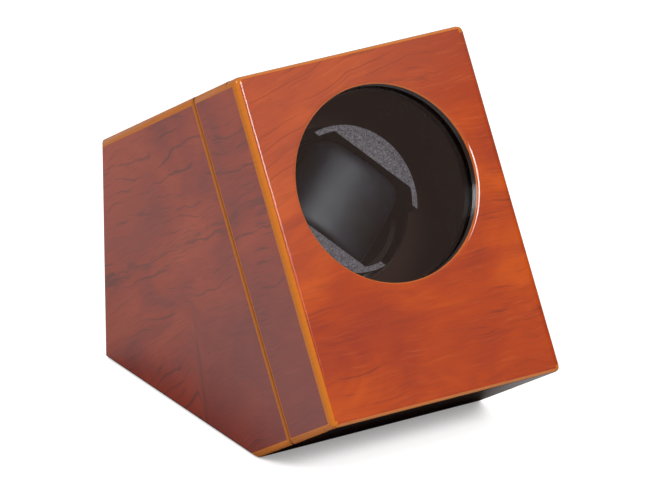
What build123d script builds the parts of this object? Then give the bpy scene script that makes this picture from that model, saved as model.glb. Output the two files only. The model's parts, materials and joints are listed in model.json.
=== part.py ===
from build123d import *
from math import cos, radians, sin, tan
import os

os.makedirs("parts", exist_ok=True)

# Box, in millimetres and degrees: X to the right, Y to the back, Z up
window_radius = 57.0
window_beside = 19.0  # wood between the window and each side of the box
window_above = 20.5  # wood between the window and the top
window_below = 69.5  # wood between the window and the underside
tilt = 30.8  # how far the front leans back from upright
top_depth = 175.0  # along the top, from the front to the back
underside_depth = 97.0  # along the sloping underside, from the front to the base
seam_depth = 54.0  # from the front to the middle of the seam: the depth of the door
seam_gap = 0.6  # between the door and the case
panel = 10.0  # thickness of every wooden panel but the front
felt_thickness = 1.0
felt_inset = 4.0  # from the base's edges to the felt
top_round = 4.2  # round-over of the long edges beside the top
under_round = 3.5  # round-over of the long edges beside the underside
edge_break = 1.0  # round-over of the back's and base's side edges
seam_round = 0.6  # round-over of the outer edges at the seam

# Door and window
front_thickness = 12.0
front_round = 3.0  # round-over of the front's outline
window_round = 1.3  # round-over of the window's front edge
window_lip = 6.0  # depth of wood in front of the pane
pane_ledge = 4.5  # how far the pane's seat reaches outside the window
pane_thickness = 2.5
pane_play = 0.2  # between the pane's rim and its seat
ring_inset = 1.0  # how far the retaining ring stands inside the window
ring_gap = 1.2  # between the ring's flange and the door's sides
ring_flange_thickness = 1.5

# Winder cup: its axis runs through the window's centre, square to the front
cup_front_depth = 46.4  # from the front to the cup's rim
cup_radius = 42.8
cup_depth = 48.0
cup_wall = 3.2
cup_floor = 3.0
channel_angle = -48.0  # direction of the channel across the cup, from X
channel_width = 56.4  # between the cheeks
cutout_width = 40.0  # of the two gaps in the rim, at the channel's ends
cutout_depth = 26.0
hub_radius = 9.0
hub_length = 3.0
cup_screw_inset = 4.2  # from the pulley's groove in to the screws that hold the cup
cup_screw_angles = (90, 210, 330)

# Watch pillow: its axis runs from cheek to cheek
pillow_play = 0.3  # between the pillow's ends and the cheeks
pillow_length = 62.0  # along the channel
pillow_depth = 35.0
pillow_recess = 1.5  # from the cup's rim in to the pillow's crown
pillow_swell = ((-1.0, 0.72), (-0.9, 0.87), (-0.6, 0.965), (0.0, 1.0), (0.6, 0.965), (0.9, 0.87), (1.0, 0.72))
oval_long_share = 0.72  # where a section's arcs meet, of its half length
oval_deep_share = 0.78  # and of its half depth

# Drive, behind the cup
deck_setback = 10.0  # from the case's front edge to the deck
deck_thickness = 4.0
deck_play = 3.2  # between the cup and the deck's opening
batten_width = 12.0
deck_screw_inset = 22.0  # from the deck's ends to its outer screws
shaft_radius = 3.0
shaft_fit = 0.05  # radial clearance of a turning shaft
shaft_tail = 3.6  # from the bearing's end to the shaft's end
pulley_width = 6.0
pulley_rim = 2.0  # height of a pulley's rims above its groove
rotor_groove_radius = 24.0
motor_groove_radius = 6.0
belt_width = 2.4
belt_thickness = 1.4
belt_play = 0.3  # between the belt and the pulleys' grooves and rims
shaft_spacing = 50.0  # from the rotor's shaft down the face to the motor's
pulley_boss_radius = 7.0
pulley_boss_length = 0.7
washer_thickness = 1.0
washer_radius = 6.5
end_play = 0.3  # between turning and fixed faces along the shaft
bearing_flange_radius = 7.0
bearing_flange_thickness = 1.0
bearing_radius = 5.0
bearing_length = 12.0
clip_thickness = 1.0
clip_radius = 5.5
clip_groove = 0.6  # depth of the clip's groove in the shaft
plate_thickness = 2.5
plate_overhang = 8.0  # from the standoffs' middles to the plate's sides
plate_margin = 11.0  # from the standoffs' middles to the plate's ends
standoff_gap = 4.0  # between the battens and the standoffs
standoff_above = 44.0  # from the rotor's axis up to the upper standoffs
standoff_below = 60.0
standoff_radius = 4.0
gearbox_radius = 12.5
gearbox_length = 20.0
gearbox_boss_radius = 3.9
motor_shaft_radius = 2.0
motor_shaft_engaged = 12.0  # length of the motor's shaft inside the gearbox
can_radius = 12.2
can_length = 31.0
can_round = 1.5
can_boss_radius = 4.0
can_boss_length = 2.5
motor_screw_offset = 8.5  # from the motor's axis to its screws

# Screws
screw_radius = 1.5
screw_head_radius = 2.9
small_screw_radius = 1.0
small_head_radius = 1.8
recess_width = 0.6  # of a screw head's cross slot
recess_reach = 1.2  # length of the cross slot, in head radii
screw_grip = 5.0  # how far a screw reaches into a metal or plastic piece
wood_grip = 6.0  # how far a screw reaches into wood

# Hinges at the top of the seam
hinge_rise = 0.5  # of the pin's axis above the top
hinge_offset = 34.0  # from the middle of the box to a hinge's middle
hinge_length = 28.0
knuckle_radius = 2.6
knuckle_gap = 0.3
knuckle_play = 0.35  # between a knuckle and what it turns past
pin_radius = 1.1
pin_head = 0.6
leaf_thickness = 1.0
leaf_height = 8.0
leaf_screw_spacing = 17.0
leaf_screw_grip = 9.0  # how far they reach past the leaf into the wood

# Magnets at the bottom of the seam
magnet_radius = 4.0
magnet_length = 3.0
magnet_offset = 45.0  # from the middle of the box

# Controls on the back
control_height = 70.0  # of the tray's centre above the base
tray_width = 98.0
tray_height = 44.0
tray_depth = 12.0
tray_wall = 2.0
tray_floor = 2.5
tray_flange = 7.0  # how far the flange reaches outside the tray's body
tray_corner = 5.0
tray_fit = 0.2  # between the tray's body and the back's opening
knob_radius = 8.0
knob_height = 9.0
knob_socket_depth = 6.3
knob_lift = 0.5  # of a knob off the tray's floor
knob_flutes = 12
knob_flute_radius = 1.1
knob_shaft_radius = 3.0
knob_hole_radius = 3.3
left_knob_inset = 17.0  # from the tray's left side, seen from the back, to the left knob
control_spacing = 24.0  # from knob to knob, and on to the switch
jack_inset = 13.0  # from the tray's right side to the power jack
selector_size = 13.0
selector_depth = 8.0
selector_shaft_depth = 5.5
board_gap = 8.3  # from the tray's floor to the board
board_thickness = 1.6
board_side_gap = 6.0  # between the board and the tray's sides
board_end_gap = 5.0  # between the board and the tray's top and bottom
boss_radius = 2.6
boss_inset = 3.6  # from the board's edges to the bosses' centres
chip_length = 20.0
chip_width = 8.0
chip_height = 3.0
chip_inset = 17.0  # from the board's side to the chip's middle
capacitor_radius = 4.0
capacitor_height = 9.0
capacitor_inset = 19.0  # from the board's other side to the capacitor
capacitor_rise = 4.0
socket_width = 8.0
socket_height = 6.0
socket_depth = 7.0
rocker_width = 8.6
rocker_height = 14.0
rocker_swing = 9.0  # each way from level
rocker_play = 0.4
rocker_pin_radius = 1.0
rocker_pin_reach = 1.0  # of the rocker's two pins into its housing
housing_flange_width = 14.0
housing_flange_height = 20.0
housing_flange_thickness = 1.5
housing_wall = 1.8
housing_depth = 7.8
jack_flange_radius = 6.0
jack_radius = 4.6
jack_bore_radius = 2.8
jack_pin_radius = 1.0
jack_bore_depth = 8.5
jack_depth = 9.6

# Lead from the motor to the board
lead_radius = 0.8
lead_spacing = 3.0  # between the two wires
lead_exit_run = 12.0  # straight out of the motor's tail
lead_start_bends = ((23.3, -2.6), (28.3, 14.8))  # back and up from the motor's tail
lead_end_bends = ((-16.9, -9.0), (-9.4, 0.0))  # back and up from the board's socket
arc_share = 0.45  # of the shorter run that an arc of the lead takes

# Sizes of the whole box, from the window and the wood round it
width = 2 * (window_radius + window_beside)
face_height = window_below + 2 * window_radius + window_above
window_height = window_below + window_radius

# Directions and corners of the box's side profile, centred front to back over the felt
up_face = Vector(0, sin(radians(tilt)), cos(radians(tilt)))
inward = Vector(0, cos(radians(tilt)), -sin(radians(tilt)))
outward = inward * -1
nose = front_round * (up_face.Y + inward.Y - 1)  # what the round-over takes off the front's lower edge
front_reach = inward.Y * underside_depth - nose
back_reach = up_face.Y * face_height + inward.Y * (top_depth - underside_depth)
base_front = Vector(0, (front_reach - back_reach) / 2, felt_thickness)
front_low = base_front - inward * underside_depth
front_high = front_low + up_face * face_height
back_top = front_high + inward * top_depth
back_base = Vector(0, back_top.Y, felt_thickness)

# Depths behind the front, worked out from the sizes above
door_back = seam_depth - seam_gap / 2
case_front = seam_depth + seam_gap / 2
inner_width = width - 2 * panel
inner_height = face_height - 2 * panel
pane_depth = window_lip
ring_depth = pane_depth + pane_thickness
pane_seat_radius = window_radius + pane_ledge
ring_radius = inner_width / 2 - ring_gap
cup_floor_depth = cup_front_depth + cup_depth - cup_floor
cup_back_depth = cup_front_depth + cup_depth
pulley_front_depth = cup_back_depth + hub_length
pulley_back_depth = pulley_front_depth + pulley_width
washer_depth = pulley_back_depth + pulley_boss_length
bearing_front_depth = washer_depth + washer_thickness + end_play
plate_front_depth = bearing_front_depth + bearing_flange_thickness
plate_back_depth = plate_front_depth + plate_thickness
bearing_back_depth = bearing_front_depth + bearing_length
shaft_end_depth = bearing_back_depth + shaft_tail
gearbox_back_depth = plate_back_depth + gearbox_length
deck_front_depth = case_front + deck_setback
deck_back_depth = deck_front_depth + deck_thickness
motor_height = window_height - shaft_spacing
groove_width = belt_width + 2 * belt_play
belt_depth = pulley_front_depth + (pulley_width - belt_width) / 2

# Places across the tray, seen from the back
left_knob_x = left_knob_inset - tray_width / 2
right_knob_x = left_knob_x + control_spacing
rocker_x = right_knob_x + control_spacing
jack_x = tray_width / 2 - jack_inset
board_width = tray_width - 2 * board_side_gap
board_height = tray_height - 2 * board_end_gap
chip_x = chip_inset - board_width / 2
capacitor_x = board_width / 2 - capacitor_inset


def at_depth(depth, height=0.0, turn=0.0):
    """The plane parallel to the front, this deep in the box and this far up the face."""
    across = Vector(1, 0, 0) * cos(radians(turn)) + up_face * sin(radians(turn))
    origin = front_low + up_face * height + inward * depth
    return Plane(origin=origin, x_dir=across, z_dir=outward)


def side_profile(corners, x):
    """A face in the box's side profile, at this X, from its corners."""
    with BuildSketch(Plane.YZ.offset(x)) as profile:
        with BuildLine():
            Polyline(*[(corner.Y, corner.Z) for corner in corners], close=True)
        make_face()
    return profile.sketch


def inner_corner(corner, before, after):
    """Where the inner faces of the two panels that meet at a corner cross."""
    one = (before - corner).normalized()
    other = (after - corner).normalized()
    return corner + (one + other) * (panel / one.cross(other).length)


def save(piece, name):
    """Label a finished piece and write it to its own file."""
    piece.part.label = name
    export_step(piece.part, f"parts/{name}.step")


def mirrored(piece):
    """The other hand of a piece."""
    with BuildPart() as other:
        mirror(piece.part, about=Plane.YZ)
    return other


def screws(places, shank, head, length, sunk=True):
    """Screws at these places, driven along each place's -Z, with countersunk or raised heads."""
    rise = head - shank
    with BuildPart() as group:
        with Locations(*places):
            Cylinder(shank, length, align=(Align.CENTER, Align.CENTER, Align.MAX))
            if sunk:
                Cone(shank, head, rise, align=(Align.CENTER, Align.CENTER, Align.MAX))
            else:
                Cylinder(head, rise, align=(Align.CENTER, Align.CENTER, Align.MIN))
        top = 0.0 if sunk else rise
        with Locations(*[place * Pos(0, 0, top) for place in places]):
            reach = recess_reach * head
            for long, wide in ((reach, recess_width), (recess_width, reach)):
                Box(long, wide, rise, align=(Align.CENTER, Align.CENTER, Align.CENTER), mode=Mode.SUBTRACT)
    return group


def drill(places, shank, head, length, sunk=True):
    """Cut the holes for such screws out of the piece being made."""
    with Locations(*places):
        Cylinder(shank, length, align=(Align.CENTER, Align.CENTER, Align.MAX), mode=Mode.SUBTRACT)
        if sunk:
            Cone(
                shank,
                head,
                head - shank,
                align=(Align.CENTER, Align.CENTER, Align.MAX),
                mode=Mode.SUBTRACT,
            )


def spots(plane, points):
    """Places on a plane, from points in its own X and Y."""
    return [plane.location * Pos(x, y, 0) for x, y in points]


def disc(plane, radius, thickness):
    """A round solid that goes inward from a plane."""
    with BuildSketch(plane) as outline:
        Circle(radius)
    extrude(outline.sketch, amount=-thickness)


def bore(plane, radius, thickness):
    """A round hole that goes inward from a plane."""
    with BuildSketch(plane) as outline:
        Circle(radius)
    extrude(outline.sketch, amount=-thickness, mode=Mode.SUBTRACT)


# Corners of the case, behind the seam
seam_top = front_high + inward * case_front
seam_low = front_low + inward * case_front
inside_top = inner_corner(back_top, seam_top, back_base)
inside_back = inner_corner(back_base, back_top, base_front)
inside_base = inner_corner(base_front, back_base, seam_low)

# Hinge planes: X runs up the face, Y out of it, Z along the pin
hinge_axis = front_high + up_face * hinge_rise + inward * seam_depth
knuckle_length = (hinge_length - 2 * knuckle_gap) / 3
hinge_starts = [side * hinge_offset - hinge_length / 2 for side in (-1, 1)]


def hinge_plane(x):
    """The plane across the hinge's pin at this X."""
    return Plane(origin=hinge_axis + Vector(x, 0, 0), x_dir=up_face, z_dir=(1, 0, 0))


def leaf_spots(depth):
    """Where a leaf's screws go in, on its face towards the seam, with Z out of that face."""
    drop = (leaf_height + knuckle_radius + knuckle_play - hinge_rise) / 2
    plane = at_depth(depth, face_height - drop)
    if depth < seam_depth:
        plane = Plane(origin=plane.origin, x_dir=(1, 0, 0), z_dir=inward)
    across = [side * hinge_offset + end * leaf_screw_spacing / 2 for side in (-1, 1) for end in (-1, 1)]
    return spots(plane, [(x, 0) for x in across])


def hinge_recess():
    """Cut the knuckles' groove and the leaves' pockets out of the piece being made."""
    end = pin_head + knuckle_gap
    for start in hinge_starts:
        with BuildSketch(hinge_plane(start - end)) as groove:
            Circle(knuckle_radius + knuckle_play)
            with Locations((-hinge_rise - leaf_height / 2, 0)):
                Rectangle(leaf_height, seam_gap + 2 * leaf_thickness)
        extrude(groove.sketch, amount=hinge_length + 2 * end, mode=Mode.SUBTRACT)


def hinge_leaf(start, hand, knuckles):
    """One leaf of a hinge: hand is 1 for the door's side and -1 for the case's."""
    foot = -hinge_rise - leaf_height
    middle = hand * (seam_gap + leaf_thickness) / 2
    shoulder = -knuckle_radius - knuckle_play
    with BuildSketch(hinge_plane(start)) as plate:
        with Locations(((foot + shoulder) / 2, middle)):
            Rectangle(shoulder - foot, leaf_thickness)
    extrude(plate.sketch, amount=hinge_length)
    for number in knuckles:
        with BuildSketch(hinge_plane(start + number * (knuckle_length + knuckle_gap))) as knuckle:
            Circle(knuckle_radius)
            with Locations((foot / 2, middle)):
                Rectangle(-foot, leaf_thickness)
            Circle(pin_radius + shaft_fit, mode=Mode.SUBTRACT)
        extrude(knuckle.sketch, amount=knuckle_length)


# Left side of the case
with BuildPart() as left_side_panel:
    extrude(side_profile([seam_top, back_top, back_base, base_front, seam_low], -width / 2), amount=panel)
    for start, end, radius in (
        (seam_top, back_top, top_round),
        (base_front, seam_low, under_round),
        (back_top, back_base, edge_break),
        (back_base, base_front, edge_break),
        (seam_low, seam_top, seam_round),
    ):
        middle = (start + end) * 0.5 - Vector(width / 2, 0, 0)
        fillet(faces().sort_by(Axis.X)[0].edges().sort_by_distance(middle)[0], radius)
save(left_side_panel, "left_side_panel")

# Right side of the case
right_side_panel = mirrored(left_side_panel)
save(right_side_panel, "right_side_panel")

# Top of the case, with the hinges let into its front end
with BuildPart() as top_panel:
    corners = [seam_top, back_top, inside_top, seam_top - up_face * panel]
    extrude(side_profile(corners, -inner_width / 2), amount=inner_width)
    hinge_recess()
    case_leaf_spots = leaf_spots(case_front + leaf_thickness)
    drill(case_leaf_spots, small_screw_radius, small_head_radius, leaf_screw_grip, False)
save(top_panel, "top_panel")

# Back of the case, with the opening for the control tray
back_centre = Vector(0, back_top.Y, felt_thickness + control_height)
rear = Plane(origin=back_centre, x_dir=(-1, 0, 0), z_dir=(0, 1, 0))
tray_screw_points = [
    (x * (tray_width + tray_flange) / 2, y * (tray_height - tray_corner) / 2)
    for x in (-1, 1)
    for y in (-1, 1)
]
tray_screw_length = tray_wall + wood_grip
with BuildPart() as back_panel:
    corners = [back_top, back_base, inside_back, inside_top]
    extrude(side_profile(corners, -inner_width / 2), amount=inner_width)
    with BuildSketch(rear) as opening:
        RectangleRounded(tray_width + 2 * tray_fit, tray_height + 2 * tray_fit, tray_corner + tray_fit)
    extrude(opening.sketch, amount=-panel, mode=Mode.SUBTRACT)
    with BuildSketch(rear) as rebate:
        RectangleRounded(
            tray_width + 2 * (tray_flange + tray_fit),
            tray_height + 2 * (tray_flange + tray_fit),
            tray_corner + tray_flange + tray_fit,
        )
    extrude(rebate.sketch, amount=-tray_wall, mode=Mode.SUBTRACT)
    drill(spots(rear, tray_screw_points), screw_radius, screw_head_radius, tray_screw_length, False)
save(back_panel, "back_panel")

# Base of the case
with BuildPart() as base_panel:
    corners = [back_base, base_front, inside_base, inside_back]
    extrude(side_profile(corners, -inner_width / 2), amount=inner_width)
save(base_panel, "base_panel")

# Sloping underside of the case, with pockets for the magnets in its front end
magnet_points = [(-magnet_offset, panel / 2), (magnet_offset, panel / 2)]
with BuildPart() as underside_panel:
    corners = [base_front, seam_low, seam_low + up_face * panel, inside_base]
    extrude(side_profile(corners, -inner_width / 2), amount=inner_width)
    for x, height in magnet_points:
        with BuildSketch(at_depth(case_front)) as pocket:
            with Locations((x, height)):
                Circle(magnet_radius)
        extrude(pocket.sketch, amount=-magnet_length, mode=Mode.SUBTRACT)
save(underside_panel, "underside_panel")

# Felt that the box stands on
with BuildPart() as base_felt:
    with BuildSketch():
        with Locations((0, (base_front.Y + back_base.Y) / 2)):
            RectangleRounded(width - 2 * felt_inset, back_base.Y - base_front.Y - 2 * felt_inset, felt_inset)
    extrude(amount=felt_thickness)
save(base_felt, "base_felt")

# Magnets in the case and their steel strikes in the door
with BuildPart() as case_magnets:
    with BuildSketch(at_depth(case_front)):
        with Locations(*magnet_points):
            Circle(magnet_radius)
    extrude(amount=-magnet_length)
save(case_magnets, "case_magnets")

with BuildPart() as door_strikes:
    with BuildSketch(at_depth(door_back)):
        with Locations(*magnet_points):
            Circle(magnet_radius)
    extrude(amount=magnet_length)
save(door_strikes, "door_strikes")

# Front of the door, with its window
with BuildPart() as door_front_panel:
    with BuildSketch(at_depth(0, face_height / 2)) as outline:
        Rectangle(width, face_height)
        fillet(vertices().group_by(Axis.Y)[-1], top_round)
        fillet(vertices().group_by(Axis.Y)[0], under_round)
        with Locations((0, window_height - face_height / 2)):
            Circle(window_radius, mode=Mode.SUBTRACT)
    extrude(amount=-front_thickness)
    fillet(faces().sort_by(Axis(front_low, outward))[-1].outer_wire().edges(), front_round)
    fillet(faces().sort_by(Axis(front_low, outward))[-1].inner_wires()[0].edges(), window_round)
    bore(at_depth(window_lip, window_height), pane_seat_radius, front_thickness - window_lip)
save(door_front_panel, "door_front_panel")


def outer_seam_edges():
    """The outside edges of a rail's end at the seam."""
    end = faces().sort_by(Axis(front_low, inward))[-1]
    return end.edges()


# Sides of the door
rail_depth = door_back - front_thickness
with BuildPart() as door_left_rail:
    with BuildSketch(at_depth(front_thickness, face_height / 2)) as outline:
        with Locations((-(width - panel) / 2, 0)):
            Rectangle(panel, face_height)
        fillet(vertices().group_by(Axis.X)[0].sort_by(Axis.Y)[-1], top_round)
        fillet(vertices().sort_by(Axis.X)[0:2].sort_by(Axis.Y)[0], under_round)
    extrude(amount=-rail_depth)
    fillet(outer_seam_edges().sort_by(Axis.X)[0], seam_round)
save(door_left_rail, "door_left_rail")

door_right_rail = mirrored(door_left_rail)
save(door_right_rail, "door_right_rail")

# Top of the door, with the hinges let into its back end
with BuildPart() as door_top_rail:
    with BuildSketch(at_depth(front_thickness, face_height - panel / 2)):
        Rectangle(inner_width, panel)
    extrude(amount=-rail_depth)
    hinge_recess()
    door_leaf_spots = leaf_spots(door_back - leaf_thickness)
    drill(door_leaf_spots, small_screw_radius, small_head_radius, leaf_screw_grip, False)
save(door_top_rail, "door_top_rail")

# Bottom of the door, with pockets for the strikes
with BuildPart() as door_bottom_rail:
    with BuildSketch(at_depth(front_thickness, panel / 2)):
        Rectangle(inner_width, panel)
    extrude(amount=-rail_depth)
    with BuildSketch(at_depth(door_back)) as pockets:
        with Locations(*magnet_points):
            Circle(magnet_radius)
    extrude(pockets.sketch, amount=magnet_length, mode=Mode.SUBTRACT)
save(door_bottom_rail, "door_bottom_rail")

# Window pane and the ring that holds it in the front
with BuildPart() as window_pane:
    disc(at_depth(pane_depth, window_height), pane_seat_radius - pane_play, pane_thickness)
save(window_pane, "window_pane")

with BuildPart() as pane_ring:
    disc(at_depth(ring_depth, window_height), pane_seat_radius - pane_play, front_thickness - ring_depth)
    disc(at_depth(front_thickness, window_height), ring_radius, ring_flange_thickness)
    bore(
        at_depth(ring_depth, window_height),
        window_radius - ring_inset,
        front_thickness + ring_flange_thickness - ring_depth,
    )
save(pane_ring, "pane_ring")

# Hinge leaves, pins and screws
case_knuckles = (0, 2)
door_knuckles = (1,)
with BuildPart() as hinge_case_leaves:
    for start in hinge_starts:
        hinge_leaf(start, -1, case_knuckles)
    drill(leaf_spots(case_front), small_screw_radius, small_head_radius, 2 * leaf_thickness)
save(hinge_case_leaves, "hinge_case_leaves")

with BuildPart() as hinge_door_leaves:
    for start in hinge_starts:
        hinge_leaf(start, 1, door_knuckles)
    drill(leaf_spots(door_back), small_screw_radius, small_head_radius, 2 * leaf_thickness)
save(hinge_door_leaves, "hinge_door_leaves")

with BuildPart() as hinge_pins:
    for start in hinge_starts:
        with BuildSketch(hinge_plane(start)) as stem:
            Circle(pin_radius)
        extrude(stem.sketch, amount=hinge_length)
        for x in (start - pin_head, start + hinge_length):
            with BuildSketch(hinge_plane(x)) as head:
                Circle(pin_radius + pin_head)
            extrude(head.sketch, amount=pin_head)
save(hinge_pins, "hinge_pins")

hinge_case_screws = screws(
    leaf_spots(case_front), small_screw_radius, small_head_radius, leaf_thickness + leaf_screw_grip
)
save(hinge_case_screws, "hinge_case_screws")
hinge_door_screws = screws(
    leaf_spots(door_back), small_screw_radius, small_head_radius, leaf_thickness + leaf_screw_grip
)
save(hinge_door_screws, "hinge_door_screws")

# Winder cup, with gaps in its rim at the ends of the channel
cup_inner_radius = cup_radius - cup_wall
cup_screw_length = cup_floor + hub_length + screw_grip
cup_screw_circle = rotor_groove_radius - cup_screw_inset
cup_screw_points = [
    (cup_screw_circle * cos(radians(angle)), cup_screw_circle * sin(radians(angle)))
    for angle in cup_screw_angles
]


def in_cup(depth):
    """The plane across the cup at this depth, with its X along the channel."""
    return at_depth(depth, window_height, channel_angle)


with BuildPart() as rotor_cup:
    disc(in_cup(cup_front_depth), cup_radius, cup_depth)
    bore(in_cup(cup_front_depth), cup_inner_radius, cup_depth - cup_floor)
    with BuildSketch(in_cup(cup_front_depth)) as gaps:
        Rectangle(3 * cup_radius, cutout_width)
    extrude(gaps.sketch, amount=-cutout_depth, mode=Mode.SUBTRACT)
    disc(in_cup(cup_back_depth), hub_radius, hub_length)
    bore(in_cup(cup_floor_depth), shaft_radius, cup_floor + hub_length)
    drill(spots(in_cup(cup_floor_depth), cup_screw_points), screw_radius, screw_head_radius, cup_screw_length)
save(rotor_cup, "rotor_cup")

cup_screws = screws(
    spots(in_cup(cup_floor_depth), cup_screw_points), screw_radius, screw_head_radius, cup_screw_length
)
save(cup_screws, "cup_screws")

# Cheeks that fill the cup beside the channel
cheek_depth = cup_depth - cup_floor


def cheek(hand):
    """One cheek: the cup's inside, cut off along the channel's edge."""
    edge = channel_width / 2
    with BuildPart() as block:
        with BuildSketch(in_cup(cup_front_depth)):
            Circle(cup_inner_radius)
            with Locations((0, hand * (edge + cup_radius))):
                Rectangle(2 * cup_radius, 2 * cup_radius, mode=Mode.INTERSECT)
        extrude(amount=-cheek_depth)
    return block


upper_cheek = cheek(1)
save(upper_cheek, "upper_cheek")
lower_cheek = cheek(-1)
save(lower_cheek, "lower_cheek")

# Watch pillow: oval sections that swell from its ends to its middle
pillow_half = channel_width / 2 - pillow_play
pillow_centre = cup_front_depth + pillow_recess + pillow_depth / 2


def pillow_section(share, swell):
    """An oval of four arcs across the pillow, at this share of its half length."""
    level = in_cup(pillow_centre)
    origin = level.origin + level.y_dir * (share * pillow_half)
    half_long = pillow_length / 2 * swell
    half_deep = pillow_depth / 2 * swell
    with BuildSketch(Plane(origin=origin, x_dir=level.x_dir, z_dir=level.y_dir)) as oval:
        with BuildLine():
            corner_x = oval_long_share * half_long
            corner_y = oval_deep_share * half_deep
            ThreePointArc((-corner_x, corner_y), (0, half_deep), (corner_x, corner_y))
            ThreePointArc((corner_x, corner_y), (half_long, 0), (corner_x, -corner_y))
            ThreePointArc((corner_x, -corner_y), (0, -half_deep), (-corner_x, -corner_y))
            ThreePointArc((-corner_x, -corner_y), (-half_long, 0), (-corner_x, corner_y))
        make_face()
    return oval.sketch


with BuildPart() as watch_pillow:
    loft([pillow_section(share, swell) for share, swell in pillow_swell])
save(watch_pillow, "watch_pillow")

# Rotor's shaft, its washer and the clip that keeps it in its bearing
clip_depth = bearing_back_depth + end_play
with BuildPart() as rotor_shaft:
    disc(in_cup(cup_floor_depth), shaft_radius, shaft_end_depth - cup_floor_depth)
    with BuildSketch(in_cup(clip_depth)) as groove:
        Circle(shaft_radius)
        Circle(shaft_radius - clip_groove, mode=Mode.SUBTRACT)
    extrude(groove.sketch, amount=-clip_thickness, mode=Mode.SUBTRACT)
save(rotor_shaft, "rotor_shaft")

with BuildPart() as shaft_clip:
    disc(in_cup(clip_depth), clip_radius, clip_thickness)
    bore(in_cup(clip_depth), shaft_radius - clip_groove, clip_thickness)
    with BuildSketch(in_cup(clip_depth)) as mouth:
        with Locations((0, -clip_radius / 2)):
            Rectangle(2 * (shaft_radius - clip_groove), clip_radius)
    extrude(mouth.sketch, amount=-clip_thickness, mode=Mode.SUBTRACT)
save(shaft_clip, "shaft_clip")

with BuildPart() as thrust_washer:
    disc(in_cup(washer_depth), washer_radius, washer_thickness)
    bore(in_cup(washer_depth), shaft_radius, washer_thickness)
save(thrust_washer, "thrust_washer")


def pulley(height, groove_radius, bore_radius):
    """A flat belt pulley at this height up the face."""
    axle = at_depth(pulley_front_depth, height)
    disc(axle, groove_radius + pulley_rim, pulley_width)
    with BuildSketch(at_depth(pulley_front_depth + (pulley_width - groove_width) / 2, height)) as groove:
        Circle(groove_radius + 2 * pulley_rim)
        Circle(groove_radius, mode=Mode.SUBTRACT)
    extrude(groove.sketch, amount=-groove_width, mode=Mode.SUBTRACT)
    bore(axle, bore_radius, pulley_width)


with BuildPart() as rotor_pulley:
    pulley(window_height, rotor_groove_radius, shaft_radius)
    with BuildSketch(in_cup(pulley_back_depth)) as boss:
        Circle(pulley_boss_radius)
        Circle(shaft_radius, mode=Mode.SUBTRACT)
    extrude(boss.sketch, amount=-pulley_boss_length)
    drill(spots(in_cup(cup_floor_depth), cup_screw_points), screw_radius, screw_head_radius, cup_screw_length)
save(rotor_pulley, "rotor_pulley")

with BuildPart() as motor_pulley:
    pulley(motor_height, motor_groove_radius, motor_shaft_radius)
save(motor_pulley, "motor_pulley")

with BuildPart() as motor_shaft:
    disc(
        at_depth(pulley_front_depth, motor_height),
        motor_shaft_radius,
        plate_back_depth + motor_shaft_engaged - pulley_front_depth,
    )
save(motor_shaft, "motor_shaft")

# Belt round both pulleys
with BuildPart() as drive_belt:
    for grown, mode in ((belt_play + belt_thickness, Mode.ADD), (belt_play, Mode.SUBTRACT)):
        with BuildSketch(at_depth(belt_depth, window_height)) as loop:
            with BuildLine():
                rotor_round = CenterArc((0, 0), rotor_groove_radius + grown, 0, 360)
                motor_round = CenterArc((0, -shaft_spacing), motor_groove_radius + grown, 0, 360)
            make_hull([rotor_round.edge(), motor_round.edge()])
        extrude(loop.sketch, amount=-belt_width, mode=mode)
save(drive_belt, "drive_belt")

# Deck round the cup, its battens and screws
batten_x = (inner_width - batten_width) / 2
deck_screw_length = deck_thickness + wood_grip
deck_screw_heights = (panel + deck_screw_inset, face_height / 2, face_height - panel - deck_screw_inset)
deck_screw_points = [(side * batten_x, height) for side in (-1, 1) for height in deck_screw_heights]
deck_face = at_depth(deck_front_depth)
standoff_x = inner_width / 2 - batten_width - standoff_gap - standoff_radius
standoff_points = [
    (side * standoff_x, height)
    for side in (-1, 1)
    for height in (window_height + standoff_above, window_height - standoff_below)
]
with BuildPart() as front_deck:
    with BuildSketch(at_depth(deck_front_depth, face_height / 2)):
        Rectangle(inner_width, inner_height)
    extrude(amount=-deck_thickness)
    bore(at_depth(deck_front_depth, window_height), cup_radius + deck_play, deck_thickness)
    drill(spots(deck_face, deck_screw_points), screw_radius, screw_head_radius, deck_screw_length)
    drill(spots(deck_face, standoff_points), screw_radius, screw_head_radius, deck_screw_length)
save(front_deck, "front_deck")

with BuildPart() as deck_battens:
    with BuildSketch(at_depth(deck_back_depth, face_height / 2)):
        with Locations((-batten_x, 0), (batten_x, 0)):
            Rectangle(batten_width, inner_height)
    extrude(amount=-batten_width)
    drill(spots(deck_face, deck_screw_points), screw_radius, screw_head_radius, deck_screw_length)
save(deck_battens, "deck_battens")

deck_screws = screws(spots(deck_face, deck_screw_points), screw_radius, screw_head_radius, deck_screw_length)
save(deck_screws, "deck_screws")

# Plate that carries the drive, on standoffs behind the deck
plate_screw_length = plate_thickness + screw_grip
behind_plate = Plane(origin=at_depth(plate_back_depth).origin, x_dir=(-1, 0, 0), z_dir=inward)
plate_screw_points = [(-x, height) for x, height in standoff_points]
with BuildPart() as plate_standoffs:
    with BuildSketch(at_depth(deck_back_depth)):
        with Locations(*standoff_points):
            RegularPolygon(standoff_radius, 6)
    extrude(amount=deck_back_depth - plate_front_depth)
    drill(spots(deck_face, standoff_points), screw_radius, screw_head_radius, deck_screw_length)
    drill(spots(behind_plate, plate_screw_points), screw_radius, screw_head_radius, plate_screw_length, False)
save(plate_standoffs, "plate_standoffs")

standoff_screws = screws(
    spots(deck_face, standoff_points), screw_radius, screw_head_radius, deck_screw_length
)
save(standoff_screws, "standoff_screws")
plate_screws = screws(
    spots(behind_plate, plate_screw_points), screw_radius, screw_head_radius, plate_screw_length, False
)
save(plate_screws, "plate_screws")

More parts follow.
